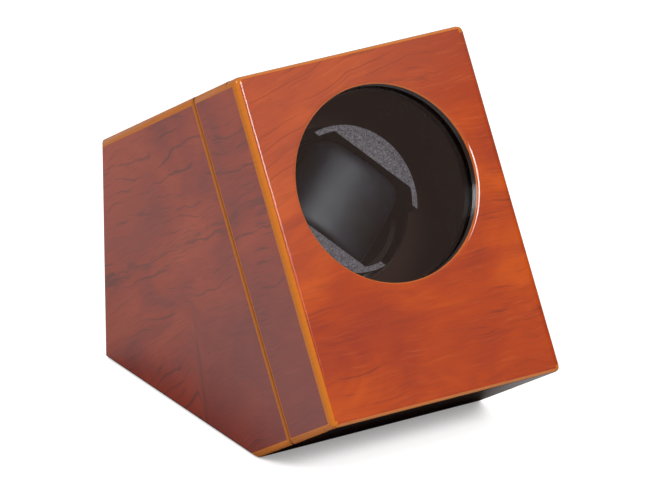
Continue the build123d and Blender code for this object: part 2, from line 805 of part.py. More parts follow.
plate_low = window_height - standoff_below - plate_margin
plate_high = window_height + standoff_above + plate_margin
motor_screw_points = [(-motor_screw_offset, motor_height), (motor_screw_offset, motor_height)]
plate_face = at_depth(plate_front_depth)
motor_screw_length = plate_thickness + screw_grip
with BuildPart() as drive_plate:
    with BuildSketch(at_depth(plate_front_depth, (plate_low + plate_high) / 2)):
        RectangleRounded(2 * (standoff_x + plate_overhang), plate_high - plate_low, plate_margin / 2)
    extrude(amount=-plate_thickness)
    bore(at_depth(plate_front_depth, window_height), bearing_radius, plate_thickness)
    bore(at_depth(plate_front_depth, motor_height), gearbox_boss_radius, plate_thickness)
    drill(spots(behind_plate, plate_screw_points), screw_radius, screw_head_radius, plate_screw_length, False)
    drill(spots(plate_face, motor_screw_points), screw_radius, screw_head_radius, motor_screw_length, False)
save(drive_plate, "drive_plate")

with BuildPart() as rotor_bearing:
    disc(in_cup(bearing_front_depth), bearing_flange_radius, bearing_flange_thickness)
    disc(in_cup(bearing_front_depth), bearing_radius, bearing_length)
    bore(in_cup(bearing_front_depth), shaft_radius + shaft_fit, bearing_length)
save(rotor_bearing, "rotor_bearing")

# Motor and its gearbox, behind the plate
with BuildPart() as motor_gearbox:
    disc(at_depth(plate_back_depth, motor_height), gearbox_radius, gearbox_length)
    disc(at_depth(plate_front_depth, motor_height), gearbox_boss_radius, plate_thickness)
    bore(
        at_depth(plate_front_depth, motor_height),
        motor_shaft_radius + shaft_fit,
        plate_thickness + motor_shaft_engaged + end_play,
    )
    drill(spots(plate_face, motor_screw_points), screw_radius, screw_head_radius, motor_screw_length, False)
save(motor_gearbox, "motor_gearbox")

with BuildPart() as motor_can:
    disc(at_depth(gearbox_back_depth, motor_height), can_radius, can_length)
    fillet(edges().filter_by(GeomType.CIRCLE).sort_by(Axis(front_low, inward))[-1], can_round)
    disc(at_depth(gearbox_back_depth + can_length, motor_height), can_boss_radius, can_boss_length)
save(motor_can, "motor_can")

motor_screws = screws(
    spots(plate_face, motor_screw_points), screw_radius, screw_head_radius, motor_screw_length, False
)
save(motor_screws, "motor_screws")

# Tray in the back that holds the controls, with bosses for the board
floor_level = rear.offset(-tray_depth)
board_level = rear.offset(-tray_depth - tray_floor - board_gap)
board_points = [
    (x * (board_width / 2 - boss_inset), y * (board_height / 2 - boss_inset))
    for x in (-1, 1)
    for y in (-1, 1)
]
behind_board = Plane(origin=board_level.offset(-board_thickness).origin, x_dir=(1, 0, 0), z_dir=(0, -1, 0))
board_screw_points = [(-x, y) for x, y in board_points]
board_screw_length = board_thickness + screw_grip
with BuildPart() as control_tray:
    with BuildSketch(rear) as flange:
        RectangleRounded(
            tray_width + 2 * tray_flange, tray_height + 2 * tray_flange, tray_corner + tray_flange
        )
    extrude(flange.sketch, amount=-tray_wall)
    with BuildSketch(rear) as body:
        RectangleRounded(tray_width, tray_height, tray_corner)
    extrude(body.sketch, amount=-tray_depth - tray_floor)
    with BuildSketch(rear) as hollow:
        RectangleRounded(tray_width - 2 * tray_wall, tray_height - 2 * tray_wall, tray_corner - tray_wall)
    extrude(hollow.sketch, amount=-tray_depth, mode=Mode.SUBTRACT)
    with BuildSketch(floor_level.offset(-tray_floor)) as bosses:
        with Locations(*board_points):
            Circle(boss_radius)
    extrude(bosses.sketch, amount=-board_gap)
    with BuildSketch(floor_level) as holes:
        with Locations((left_knob_x, 0), (right_knob_x, 0)):
            Circle(knob_hole_radius)
        with Locations((rocker_x, 0)):
            Rectangle(rocker_width + 2 * housing_wall, rocker_height + 2 * housing_wall)
        with Locations((jack_x, 0)):
            Circle(jack_radius)
    extrude(holes.sketch, amount=-tray_floor, mode=Mode.SUBTRACT)
    drill(spots(rear, tray_screw_points), screw_radius, screw_head_radius, tray_screw_length)
    drill(spots(behind_board, board_screw_points), screw_radius, screw_head_radius, board_screw_length, False)
save(control_tray, "control_tray")

tray_screws = screws(spots(rear, tray_screw_points), screw_radius, screw_head_radius, tray_screw_length)
save(tray_screws, "tray_screws")
board_screws = screws(
    spots(behind_board, board_screw_points), screw_radius, screw_head_radius, board_screw_length, False
)
save(board_screws, "board_screws")

# Circuit board and what is soldered on its inner face
with BuildPart() as control_board:
    with BuildSketch(board_level):
        Rectangle(board_width, board_height)
    extrude(amount=-board_thickness)
    drill(spots(behind_board, board_screw_points), screw_radius, screw_head_radius, board_screw_length, False)
save(control_board, "control_board")

with BuildPart() as board_components:
    with BuildSketch(behind_board) as chip:
        with Locations((chip_x, 0)):
            Rectangle(chip_length, chip_width)
    extrude(chip.sketch, amount=chip_height)
    with BuildSketch(behind_board) as capacitor:
        with Locations((capacitor_x, capacitor_rise)):
            Circle(capacitor_radius)
    extrude(capacitor.sketch, amount=capacitor_height)
    with BuildSketch(behind_board) as socket:
        Rectangle(socket_width, socket_height)
    extrude(socket.sketch, amount=socket_depth)
save(board_components, "board_components")


def selector_body(x):
    """The body of a rotary selector, between the tray's floor and the board."""
    with BuildPart() as body:
        with BuildSketch(floor_level.offset(-tray_floor)):
            with Locations((x, 0)):
                Rectangle(selector_size, selector_size)
                Circle(knob_shaft_radius + shaft_fit, mode=Mode.SUBTRACT)
        extrude(amount=-selector_depth)
        with BuildSketch(floor_level.offset(-tray_floor - selector_shaft_depth - end_play)) as back:
            with Locations((x, 0)):
                Rectangle(selector_size, selector_size)
        extrude(back.sketch, amount=selector_shaft_depth + end_play - selector_depth)
    return body


def knob(x):
    """A fluted knob with a pointer slot across its face."""
    with BuildPart() as cap:
        with BuildSketch(floor_level.offset(knob_lift)):
            with Locations((x, 0)):
                Circle(knob_radius)
                with PolarLocations(knob_radius, knob_flutes, start_angle=180 / knob_flutes):
                    Circle(knob_flute_radius, mode=Mode.SUBTRACT)
        extrude(amount=knob_height)
        with BuildSketch(floor_level.offset(knob_lift)) as socket:
            with Locations((x, 0)):
                Circle(knob_shaft_radius)
        extrude(socket.sketch, amount=knob_socket_depth, mode=Mode.SUBTRACT)
        with BuildSketch(floor_level.offset(knob_lift + knob_height)) as pointer:
            with Locations((x, knob_radius / 2)):
                Rectangle(knob_flute_radius, knob_radius)
        extrude(pointer.sketch, amount=-knob_flute_radius, mode=Mode.SUBTRACT)
    return cap


def knob_shaft(x):
    """The shaft from inside a selector to inside its knob."""
    with BuildPart() as stem:
        with BuildSketch(floor_level.offset(knob_lift + knob_socket_depth)):
            with Locations((x, 0)):
                Circle(knob_shaft_radius)
        extrude(amount=-(knob_lift + knob_socket_depth + tray_floor + selector_shaft_depth))
    return stem


for name, x in (("direction", left_knob_x), ("turns", right_knob_x)):
    save(selector_body(x), f"{name}_selector_body")
    save(knob(x), f"{name}_knob")
    save(knob_shaft(x), f"{name}_knob_shaft")

# Power switch: a rocker that turns about X in its housing
housing_inner = (rocker_width + 2 * rocker_play, rocker_height + 2 * rocker_play)
housing_outer = (rocker_width + 2 * housing_wall, rocker_height + 2 * housing_wall)
housing_bottom = housing_wall - tray_floor - housing_depth
rocker_pivot = floor_level.origin - Vector(rocker_x, 0, 0)
rocker_across = Plane(origin=rocker_pivot, x_dir=(0, 1, 0), z_dir=(1, 0, 0))
rocker_pin_half = rocker_width / 2 + rocker_play + rocker_pin_reach
with BuildPart() as rocker_housing:
    with BuildSketch(floor_level) as rim:
        with Locations((rocker_x, 0)):
            RectangleRounded(housing_flange_width, housing_flange_height, housing_wall)
    extrude(rim.sketch, amount=housing_flange_thickness)
    with BuildSketch(floor_level) as box:
        with Locations((rocker_x, 0)):
            Rectangle(*housing_outer)
    extrude(box.sketch, amount=-tray_floor - housing_depth)
    with BuildSketch(floor_level.offset(housing_flange_thickness)) as well:
        with Locations((rocker_x, 0)):
            Rectangle(*housing_inner)
    extrude(well.sketch, amount=housing_bottom - housing_flange_thickness, mode=Mode.SUBTRACT)
    with BuildSketch(rocker_across.offset(-rocker_pin_half - shaft_fit)) as pin_holes:
        Circle(rocker_pin_radius + shaft_fit)
    extrude(pin_holes.sketch, amount=2 * (rocker_pin_half + shaft_fit), mode=Mode.SUBTRACT)
save(rocker_housing, "rocker_housing")

rocker_way = Vector(0, cos(radians(rocker_swing)), sin(radians(rocker_swing)))
rocker_plane = Plane(origin=rocker_pivot, x_dir=rocker_way, z_dir=(1, 0, 0))
with BuildPart() as power_rocker:
    with BuildSketch(rocker_plane.offset(-rocker_width / 2)):
        with BuildLine():
            half = rocker_height / 2
            rise = half * sin(radians(rocker_swing))
            Polyline(
                (housing_flange_thickness + rise, -half + rise),
                (housing_flange_thickness, 0),
                (housing_flange_thickness + rise, half - rise),
                (-rise, half - rise),
                (-tray_floor - rise, 0),
                (-rise, -half + rise),
                close=True,
            )
        make_face()
    extrude(amount=rocker_width)
    with BuildSketch(rocker_across.offset(-rocker_pin_half)) as pin:
        Circle(rocker_pin_radius)
    extrude(pin.sketch, amount=2 * rocker_pin_half)
save(power_rocker, "power_rocker")

# Socket for the power plug, open to the back
with BuildPart() as power_jack:
    with BuildSketch(floor_level) as nut:
        with Locations((jack_x, 0)):
            Circle(jack_flange_radius)
    extrude(nut.sketch, amount=housing_flange_thickness)
    with BuildSketch(floor_level) as barrel:
        with Locations((jack_x, 0)):
            Circle(jack_radius)
    extrude(barrel.sketch, amount=-jack_depth)
    with BuildSketch(floor_level.offset(housing_flange_thickness)) as hole:
        with Locations((jack_x, 0)):
            Circle(jack_bore_radius)
            Circle(jack_pin_radius, mode=Mode.SUBTRACT)
    extrude(hole.sketch, amount=-jack_bore_depth, mode=Mode.SUBTRACT)
save(power_jack, "power_jack")

# Lead of two wires from the motor's tail to the board's socket
lead_start = at_depth(gearbox_back_depth + can_length + can_boss_length, motor_height).origin
lead_end = behind_board.offset(socket_depth).origin
lead_route = [
    lead_start,
    lead_start + inward * lead_exit_run,
    *[lead_start + Vector(0, back, rise) for back, rise in lead_start_bends],
    *[lead_end + Vector(0, back, rise) for back, rise in lead_end_bends],
    lead_end,
]
lead_runs = [after - before for before, after in zip(lead_route, lead_route[1:])]
lead_radii = [
    arc_share * min(one.length, other.length) / tan(radians(one.get_angle(other) / 2))
    for one, other in zip(lead_runs, lead_runs[1:])
]
print("radii of the motor lead's arcs, in mm:", [round(radius, 1) for radius in lead_radii])
with BuildPart() as motor_lead:
    for x in (-lead_spacing / 2, lead_spacing / 2):
        with BuildLine() as route:
            FilletPolyline(*[point + Vector(x, 0, 0) for point in lead_route], radius=lead_radii)
        with BuildSketch(Plane(origin=route.line @ 0, z_dir=route.line % 0)) as section:
            Circle(lead_radius)
        sweep(section.sketch, path=route.line)
save(motor_lead, "motor_lead")
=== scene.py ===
import json
from math import cos, pi, radians, sin

import bpy
from bpy.props import FloatProperty, FloatVectorProperty, IntProperty, PointerProperty
from mathutils import Matrix, Vector


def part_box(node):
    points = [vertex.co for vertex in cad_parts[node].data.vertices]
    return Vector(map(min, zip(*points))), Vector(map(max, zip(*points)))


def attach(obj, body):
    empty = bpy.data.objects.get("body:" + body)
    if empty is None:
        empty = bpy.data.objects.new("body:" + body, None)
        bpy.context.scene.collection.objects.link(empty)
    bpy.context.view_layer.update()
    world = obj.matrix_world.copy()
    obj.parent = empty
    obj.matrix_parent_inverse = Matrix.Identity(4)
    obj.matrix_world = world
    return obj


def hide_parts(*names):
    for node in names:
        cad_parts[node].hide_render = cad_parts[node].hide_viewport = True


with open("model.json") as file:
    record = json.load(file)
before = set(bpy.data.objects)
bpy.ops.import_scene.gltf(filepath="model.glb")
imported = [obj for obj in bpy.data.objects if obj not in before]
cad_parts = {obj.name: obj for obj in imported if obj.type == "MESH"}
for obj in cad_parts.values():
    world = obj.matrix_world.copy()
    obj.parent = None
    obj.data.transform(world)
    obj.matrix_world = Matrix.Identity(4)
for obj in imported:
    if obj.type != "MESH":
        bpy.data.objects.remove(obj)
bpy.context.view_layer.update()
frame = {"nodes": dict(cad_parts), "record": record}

bl_info = {
    "name": "Watch Winder",
    "version": (1, 0, 0),
    "blender": (4, 5, 0),
    "location": "3D View > Sidebar > Winder",
    "description": "Builds a leaning veneered watch winder with a round window round its packed frame",
    "category": "Object",
}

# The box, from the frame's own nodes, its lean and the place of its seam
tilt = radians(30.8)  # how far the front leans back
seam_depth = 0.054  # from the front to the middle of the seam
seam_gap = 0.0006  # between the door and the case
half_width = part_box("left_side_panel")[0].x * -1
back_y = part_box("back_panel")[1].y
felt_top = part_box("base_felt")[1].z
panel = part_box("left_side_panel")[1].x + half_width
up_face = Vector((0, sin(tilt), cos(tilt)))
inward = Vector((0, cos(tilt), -sin(tilt)))

# The window and the rotor's axis, from the pane
pane_low, pane_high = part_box("window_pane")
pane_thickness = 0.0025
pane_play = 0.0002  # round the pane in its seat
pane_seat_width = 0.0045  # how much of the pane's edge the wood covers
pane_seat_radius = (pane_high.x - pane_low.x) / 2 + pane_play
window_radius = pane_seat_radius - pane_seat_width
pane_depth = 0.006  # from the front to the pane
front_thickness = 0.012

# The front's own frame, at the middle of its lower edge
wood_below_window = 0.0695
wood_above_window = 0.0205
face_height = wood_below_window + 2 * window_radius + wood_above_window
window_height = wood_below_window + window_radius
pane_middle = (pane_low + pane_high) / 2
front_low = pane_middle - up_face * window_height - inward * (pane_depth + pane_thickness / 2)
front_low.x = 0
face_frame = Matrix.Translation(front_low) @ Matrix.Rotation(-tilt, 4, "X")
door_back = seam_depth - seam_gap / 2
case_front = seam_depth + seam_gap / 2

same = 1e-6  # two places closer than this are one
merge = 2e-6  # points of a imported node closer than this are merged
circle_sides = 160  # sides of a turned piece


def linear(red, green, blue):
    """A colour written as on a screen, from 0 to 255, as Blender's linear colour."""
    shares = [value / 255 for value in (red, green, blue)]
    return tuple(share / 12.92 if share <= 0.04045 else ((share + 0.055) / 1.055) ** 2.4 for share in shares)


def colour(name, description, red, green, blue):
    """A colour that a user can change."""
    return FloatVectorProperty(
        name=name,
        description=description,
        subtype="COLOR",
        size=3,
        min=0,
        max=1,
        default=linear(red, green, blue),
    )


def length(name, description, default):
    """A size that a user can change, in metres."""
    return FloatProperty(
        name=name, description=description, unit="LENGTH", min=0, default=default, precision=5
    )


class WinderSizes(bpy.types.PropertyGroup):
    """Sizes of the rounded edges and of the amber wood that shows on them."""

    side_round: length("Side round-over", "Radius of the front's upright edges", 0.0042)
    top_round: length("Top round-over", "Radius of the long edges beside the top", 0.0042)
    under_round: length("Under round-over", "Radius of the long edges beside the underside", 0.0035)
    front_top_round: length("Front top round-over", "Radius of the front's upper edge", 0.003)
    front_low_round: length("Front low round-over", "Radius of the front's lower edge", 0.003)
    window_round: length("Window round-over", "Width of the window's rounded front edge", 0.0022)
    window_fall: length("Window fall", "Depth of the window's rounded front edge", 0.001)
    seam_round: length("Seam round-over", "Radius of the outer edges at the seam", 0.0015)
    back_round: length("Back round-over", "Radius of the back's edges", 0.0024)
    edge_break: length("Edge break", "Radius of the base's edges", 0.0008)
    amber_seam: length("Amber at the seam", "How far the bare edge shows beside the seam", 0.0023)
    amber_side: length("Amber on the side", "How far the bare edge shows on the side", 0.0046)
    amber_front: length("Amber on the front", "How far the bare edge shows beside the front", 0.0024)
    round_steps: IntProperty(name="Round steps", description="Segments of a round-over", default=8, min=2)


class WinderColours(bpy.types.PropertyGroup):
    """Colours of the veneers, the lacquer, the linings and the pillow."""

    front_light: colour("Front light", "Light clouds of the front's veneer", 194, 81, 10)
    front_middle: colour("Front middle", "Body of the front's veneer", 174, 64, 12)
    front_dark: colour("Front dark", "Dark clouds of the front's veneer", 151, 50, 22)
    side_light: colour("Side light", "Light clouds of the side's veneer", 172, 70, 38)
    side_middle: colour("Side middle", "Body of the side's veneer", 148, 54, 32)
    side_dark: colour("Side dark", "Dark clouds of the side's veneer", 118, 44, 38)
    side_red: colour("Side red", "Red cloud low on the side's veneer", 148, 44, 22)
    vein: colour("Vein", "Dark veins of the veneer", 58, 36, 34)
    amber: colour("Amber", "Bare wood of the rounded edges", 200, 116, 36)
    lacquer: colour("Dark lacquer", "Underside and base", 22, 12, 9)
    # Partly painted reflection: warmer and lighter than the flock's own colour, for the pane's warm
    # reflection over the inside.
    lining_and_painted_reflection: colour("Lining", "Flocked inside of the box", 62, 40, 34)
    covering: colour("Covering", "Speckled covering of the cup", 121, 125, 136)
    satin: colour("Satin", "Satin of the watch pillow", 34, 39, 52)


class Wire:
    """One output of a node. Arithmetic on wires adds Math nodes."""

    def __init__(self, nodes, socket):
        self.nodes = nodes
        self.socket = socket

    def maths(self, operation, *values):
        return self.nodes.add("ShaderNodeMath", {"operation": operation}, dict(enumerate(values)))

    def __add__(self, other):
        return self.maths("ADD", self, other)

    def __sub__(self, other):
        return self.maths("SUBTRACT", self, other)

    def __rsub__(self, other):
        return self.maths("SUBTRACT", other, self)

    def __mul__(self, other):
        return self.maths("MULTIPLY", self, other)

    def __truediv__(self, other):
        return self.maths("DIVIDE", self, other)

    def __lt__(self, other):
        return self.maths("LESS_THAN", self, other)

    def __neg__(self):
        return self.maths("MULTIPLY", self, -1)

    def __abs__(self):
        return self.maths("ABSOLUTE", self)

    __radd__ = __add__
    __rmul__ = __mul__


class Nodes:
    """The node tree of a material or of the world, which is built node by node."""

    def __init__(self, owner):
        owner.use_nodes = True
        self.tree = owner.node_tree
        self.tree.nodes.clear()

    def add(self, kind, settings, sockets, output=0):
        """Add a node, set it, fill its sockets with values or wires, and give one of its outputs."""
        node = self.tree.nodes.new(kind)
        for name, value in settings.items():
            if name == "stops":
                ramp = node.color_ramp
                while len(ramp.elements) < len(value):
                    ramp.elements.new(0.5)
                for element, (position, shade) in zip(ramp.elements, value):
                    element.position = position
                    element.color = (*shade, 1)
            else:
                setattr(node, name, value)
        for key, value in sockets.items():
            if isinstance(value, Wire):
                self.tree.links.new(value.socket, node.inputs[key])
            elif node.inputs[key].type == "RGBA" and len(value) == 3:
                node.inputs[key].default_value = (*value, 1)
            else:
                node.inputs[key].default_value = value
        return Wire(self, node.outputs[output]) if node.outputs else node

    def object_place(self):
        """The place on the piece, in metres in the frame, as three wires."""
        place = self.add("ShaderNodeTexCoord", {}, {}, "Object")
        split = self.add("ShaderNodeSeparateXYZ", {}, {0: place})
        return [Wire(self, split.socket.node.outputs[axis]) for axis in range(3)]

    def face_place(self):
        """The place across the front, behind it and up it, in metres, as three wires."""
        x, y, z = self.object_place()
        from_low = y - front_low.y
        above_low = z - front_low.z
        depth = from_low * cos(tilt) - above_low * sin(tilt)
        height = from_low * sin(tilt) + above_low * cos(tilt)
        return x, depth, height

    def vector(self, x, y, z):
        """Three values as one place."""
        return self.add("ShaderNodeCombineXYZ", {}, {0: x, 1: y, 2: z})

    def noise(self, place, scale, detail=2.0, roughness=0.5, distortion=0.0):
        """Soft clouds from 0 to 1, about this many to a unit of place."""
        sockets = {
            "Vector": place,
            "Scale": scale,
            "Detail": detail,
            "Roughness": roughness,
            "Distortion": distortion,
        }
        return self.add("ShaderNodeTexNoise", {}, sockets)

    def cells(self, place, scale):
        """How far the nearest of scattered points is, about this many to a unit of place."""
        return self.add("ShaderNodeTexVoronoi", {}, {"Vector": place, "Scale": scale}, "Distance")

    def step(self, value, low, high):
        """0 below low, 1 above high, and smooth between them."""
        sockets = {"Value": value, "From Min": low, "From Max": high}
        return self.add("ShaderNodeMapRange", {"interpolation_type": "SMOOTHSTEP"}, sockets)

    def spread(self, value, low, high):
        """A value from 0 to 1, spread from low to high."""
        return self.add("ShaderNodeMapRange", {}, {"Value": value, "To Min": low, "To Max": high})

    def mix(self, share, first, second):
        """The first colour where the share is 0, the second where it is 1."""
        return self.add("ShaderNodeMix", {"data_type": "RGBA"}, {0: share, 6: first, 7: second}, 2)

    def bell(self, value, middle, width):
        """1 at the middle, and falling to 0 on both sides of it."""
        share = (value - middle) / width
        power = -(share * share)
        return power.maths("EXPONENT", power)

    def grain(self, along, across, seed):
        """A veneer's clouds, fibres and short dark strokes, whose grain runs along one direction."""
        cloud = self.noise(self.vector(along * 0.6, across, seed), 24, 3, 0.55, 0.6)
        sway = self.noise(self.vector(along, across * 0.6, seed + 0.5), 42, 2) - 0.5
        line = across + sway * 0.008
        fibre = self.noise(self.vector(along * 40, line * 640, seed), 1, 4, 0.7)
        stroke = self.noise(self.vector(along * 36, line * 800, seed + 3), 1, 1)
        return cloud, fibre, stroke, line

    def contours(self, along, line, seed):
        """Thin broken lines that follow the figure, as 1 on a line and 0 beside it."""
        field = self.noise(self.vector(along * 14, line * 30, seed), 1, 2, 0.4) * 3.4 + line * 120
        nearest = field.maths("PINGPONG", field, 0.5)
        broken = self.step(self.noise(self.vector(along * 15, line * 150, seed + 7), 1, 2), 0.45, 0.62)
        return (1 - self.step(nearest, 0.02, 0.11)) * broken

    def ramp(self, value, stops):
        """A colour by a value, from stops of a position and a colour."""
        return self.add("ShaderNodeValToRGB", {"stops": stops}, {0: value})

    def bump(self, height, strength, distance):
        """A normal that raises the surface by this height."""
        return self.add("ShaderNodeBump", {}, {"Height": height, "Strength": strength, "Distance": distance})

    def worn_amber(self, fibre, colours):
        """Amber wood with a little of its end grain."""
        return self.mix(self.step(fibre, 0.45, 0.8) * 0.45, colours.amber, (0.33, 0.1, 0.02))

    def lacquer(self, shade, cloud, fibre, index=1.36, dull=0.0):
        """Clear gloss lacquer of this refractive index over this shade of wood, thinner where it is dull."""
        self.finish(
            Base_Color=shade,
            Roughness=self.spread(fibre, 0.35, 0.5),
            Coat_Weight=self.spread(cloud, 0.96, 1.0) * (1 - dull),
            Coat_Roughness=0.02,
            Coat_IOR=index,
            Specular_IOR_Level=0.1,
            Normal=self.bump(fibre, 0.04, 0.0002),
        )

    def finish(self, **sockets):
        """The Principled shader of a material, with these sockets, given with _ for spaces."""
        sockets = {name.replace("_", " "): value for name, value in sockets.items()}
        shader = self.add("ShaderNodeBsdfPrincipled", {}, sockets)
        self.add("ShaderNodeOutputMaterial", {}, {"Surface": shader})


def material(name):
    """A new material and its nodes."""
    made = bpy.data.materials.new(name)
    return made, Nodes(made)


def edge_amber(nodes, x, depth, height, sizes):
    """Where the bare amber wood of the rounded edges shows, from 0 to 1."""
    soft = 0.00025

    def within(distance, reach):
        return 1 - nodes.step(distance, reach, reach + soft)

    from_side = half_width - abs(x)
    from_top = face_height - height
    up_window = height - window_height
    squared = x * x + up_window * up_window
    from_window = squared.maths("SQRT", squared) - window_radius
    near_front = within(depth, 0.0024)
    thin = 0.0009  # on the front's right-hand edge
    beside_front = (x < 0) * (sizes.amber_front - thin) + thin
    lip = nodes.bell(depth, sizes.window_fall * 0.55, sizes.window_fall * 0.25)
    bands = (
        within(from_side, beside_front) * within(depth, sizes.amber_side),
        within(from_top, 0.0017) * near_front,
        within(height, 0.0016) * near_front,
        within(from_top, sizes.top_round) * within(from_side, sizes.top_round),
        within(height, sizes.under_round) * within(from_side, sizes.under_round),
        within(abs(depth - seam_depth), sizes.amber_seam) * within(from_side, 0.002),
        lip * within(from_window, 0.003) * 0.7,
    )
    total = bands[0]
    for band in bands[1:]:
        total = total.maths("MAXIMUM", total, band)
    return total


def front_veneer(colours, sizes):
    """The front's veneer: fine wavy grain across the box, clouds, pores and a few pin knots."""
    dark_fibre, pale_fibre = (0.2, 0.032, 0.014), (0.72, 0.2, 0.05)
    ink, thread = (0.1, 0.02, 0.014), (0.12, 0.024, 0.016)
    pore, haze = (0.16, 0.03, 0.014), (0.48, 0.148, 0.079)
    made, nodes = material("front_veneer")
    x, depth, height = nodes.face_place()
    upwards = height - x * 0.7  # towards the upper left corner
    lean = nodes.spread(nodes.step(upwards, 0.12, 0.24), 0.02, 0.3)
    cloud, fibre, stroke, line = nodes.grain(x, height - x * lean, 0.3)
    shades = (0.32, colours.front_dark), (0.5, colours.front_middle), (0.66, colours.front_light)
    body = nodes.ramp(cloud, shades)
    glow = nodes.bell(x, 0.05, 0.032) * nodes.bell(height, 0.108, 0.04)
    body = nodes.mix(glow * 0.35, body, colours.front_light)
    dusk = nodes.step(height, 0.15, 0.19) * nodes.step(x, -0.02, 0.05) * 1.3
    sash = nodes.bell(x, -0.028, 0.022) * nodes.bell(height, 0.05, 0.011)
    body = nodes.mix(dusk.maths("MAXIMUM", dusk, sash) * 0.6, body, colours.front_dark)
    broad = nodes.noise(nodes.vector(x * 14, line * 60, 2.6), 1, 2)
    body = nodes.mix(nodes.step(broad, 0.5, 0.72) * 0.45, body, colours.front_dark)
    body = nodes.mix(nodes.step(fibre, 0.48, 0.8) * 0.4, body, dark_fibre)
    body = nodes.mix(nodes.step(fibre, 0.46, 0.22) * 0.22, body, pale_fibre)
    figured = nodes.step(nodes.noise(nodes.vector(x, height, 0.9), 16, 2), 0.42, 0.6)
    upper_left = nodes.step(upwards, 0.1, 0.2)
    inked = nodes.step(stroke, 0.62, 0.72) * figured.maths("MAXIMUM", figured, upper_left)
    body = nodes.mix(inked * 0.45, body, ink)
    body = nodes.mix(upper_left * 0.28, body, haze)
    lines = nodes.contours(x, line, 4.4) * nodes.spread(upper_left, 0.12, 0.34)
    body = nodes.mix(lines, body, thread)
    pores = nodes.cells(nodes.vector(x * 0.6, height, 0.7), 520)
    spots = (1 - nodes.step(pores, 0.1, 0.2)) * nodes.step(broad, 0.36, 0.6)
    body = nodes.mix(spots * 0.35, body, pore)
    knots = nodes.cells(nodes.vector(x, height, 0.02), 22)
    body = nodes.mix((1 - nodes.step(knots, 0.012, 0.03)) * 0.8, body, colours.vein)
    amber = edge_amber(nodes, x, depth, height, sizes)
    wear_and_seam_shade = 0.93 - nodes.step(height, 0.07, 0.19) * 0.5
    flat = half_width - sizes.side_round  # where the round begins
    dull = nodes.step(abs(x), flat - 0.0002, flat + 0.0003) * wear_and_seam_shade
    nodes.lacquer(nodes.mix(amber, body, nodes.worn_amber(fibre, colours)), cloud, fibre, 1.5, dull)
    return made


def side_veneer(colours, sizes):
    """The sides' veneer: grain along the depth that turns down in a feathered crotch, with dark smudges."""
    dark_fibre, pale_fibre = (0.09, 0.022, 0.018), (0.4, 0.11, 0.05)
    ink, thread = (0.03, 0.014, 0.013), (0.035, 0.016, 0.014)
    # The last two shades paint the seam's shade: a darker brown beside the seam and near black in its gap.
    wear_and_seam_shade, seam_shadow = (0.12, 0.04, 0.02), (0.02, 0.009, 0.007)
    made, nodes = material("side_veneer")
    x, depth, height = nodes.face_place()
    hand = x * 0.02  # the figure's third axis, nearly the same on both sides
    crest_depth, crest_height = 0.12, 0.106  # where the feathered figure has its crest
    lean = depth - (crest_height - height) * 0.33 - crest_depth
    low = 1 - nodes.step(height, crest_height - 0.04, crest_height + 0.004)
    fade = lean.maths("MAXIMUM", lean, 0) * -7
    drop = nodes.step(lean, -0.009, 0.006) * fade.maths("EXPONENT", fade) * low * 0.045
    cloud, fibre, stroke, line = nodes.grain(depth, height - drop, hand)
    shades = (0.26, colours.side_dark), (0.5, colours.side_middle), (0.74, colours.side_light)
    body = nodes.ramp(cloud, shades)
    upper_rear = nodes.step(height, 0.08, 0.19) * nodes.step(depth, 0.1, 0.18)
    body = nodes.mix(upper_rear * 0.6, body, colours.side_light)
    ahead = (1 - nodes.step(lean, -0.012, 0.004)) * low
    behind = nodes.step(lean, 0.002, 0.02) * low
    body = nodes.mix(ahead * 0.55, body, colours.side_dark)
    feather = nodes.bell(lean, -0.002, 0.0018) * low
    body = nodes.mix(feather * 0.35, body, colours.vein)
    body = nodes.mix(behind * (1 - nodes.step(height, 0.02, 0.09)) * 0.8, body, colours.side_red)
    body = nodes.mix(nodes.step(fibre, 0.48, 0.8) * 0.35, body, dark_fibre)
    body = nodes.mix(nodes.step(fibre, 0.46, 0.2) * 0.25, body, pale_fibre)
    smudge = nodes.noise(nodes.vector(depth * 26, line * 190, hand + 5), 1, 3, 0.6)
    shoulder = nodes.bell(line + depth * 0.02, 0.131, 0.005) * 0.2
    smoke = nodes.step(smudge + shoulder, 0.6, 0.78)
    body = nodes.mix(smoke * 0.42, body, colours.vein)
    figured = nodes.step(nodes.noise(nodes.vector(depth, height, hand + 0.9), 18, 2), 0.4, 0.6)
    inked = nodes.step(stroke, 0.6, 0.72) * figured.maths("MAXIMUM", figured, smoke)
    body = nodes.mix(inked * 0.45, body, ink)
    lines = nodes.contours(depth, line, hand + 2) * (1 - ahead * 0.7)
    body = nodes.mix(lines * 0.5, body, thread)
    amber = edge_amber(nodes, x, depth, height, sizes)
    above_felt = nodes.object_place()[2] - felt_top
    foot = 1 - nodes.step(above_felt, 0.001, 0.0014)
    # Painted shadow: a near black line along the seam's gap.
    seam_shadow_line = nodes.bell(depth, seam_depth, seam_gap) * 0.7
    body = nodes.mix(foot * 0.7, body, colours.lacquer)
    dull = foot.maths("MAXIMUM", foot, amber * 0.6)
    shade = nodes.mix(amber, body, nodes.worn_amber(fibre, colours))
    # Painted shade: the amber beside the seam turned a little darker.
    near_seam = 1 - nodes.step(abs(depth - seam_depth), sizes.amber_seam, sizes.amber_seam + 0.0004)
    shade = nodes.mix(near_seam * 0.15, shade, wear_and_seam_shade)
    nodes.lacquer(nodes.mix(seam_shadow_line, shade, seam_shadow), cloud, fibre, dull=dull)
    return made


def rear_veneer(colours, sizes):
    """The plainer veneer of the top and the back, with its grain across the box."""
    made, nodes = material("rear_veneer")
    x, y, z = nodes.object_place()
    cloud, fibre, stroke, _ = nodes.grain(x, y * 0.8 + z, 0.6)
    shades = (0.3, colours.side_dark), (0.5, colours.front_dark), (0.68, colours.front_middle)
    body = nodes.ramp(cloud, shades)
    body = nodes.mix(nodes.step(fibre, 0.5, 0.85) * 0.4, body, (0.1, 0.02, 0.014))
    body = nodes.mix(nodes.step(stroke, 0.64, 0.74) * 0.4, body, (0.06, 0.018, 0.014))
    nodes.lacquer(body, cloud, fibre)
    return made


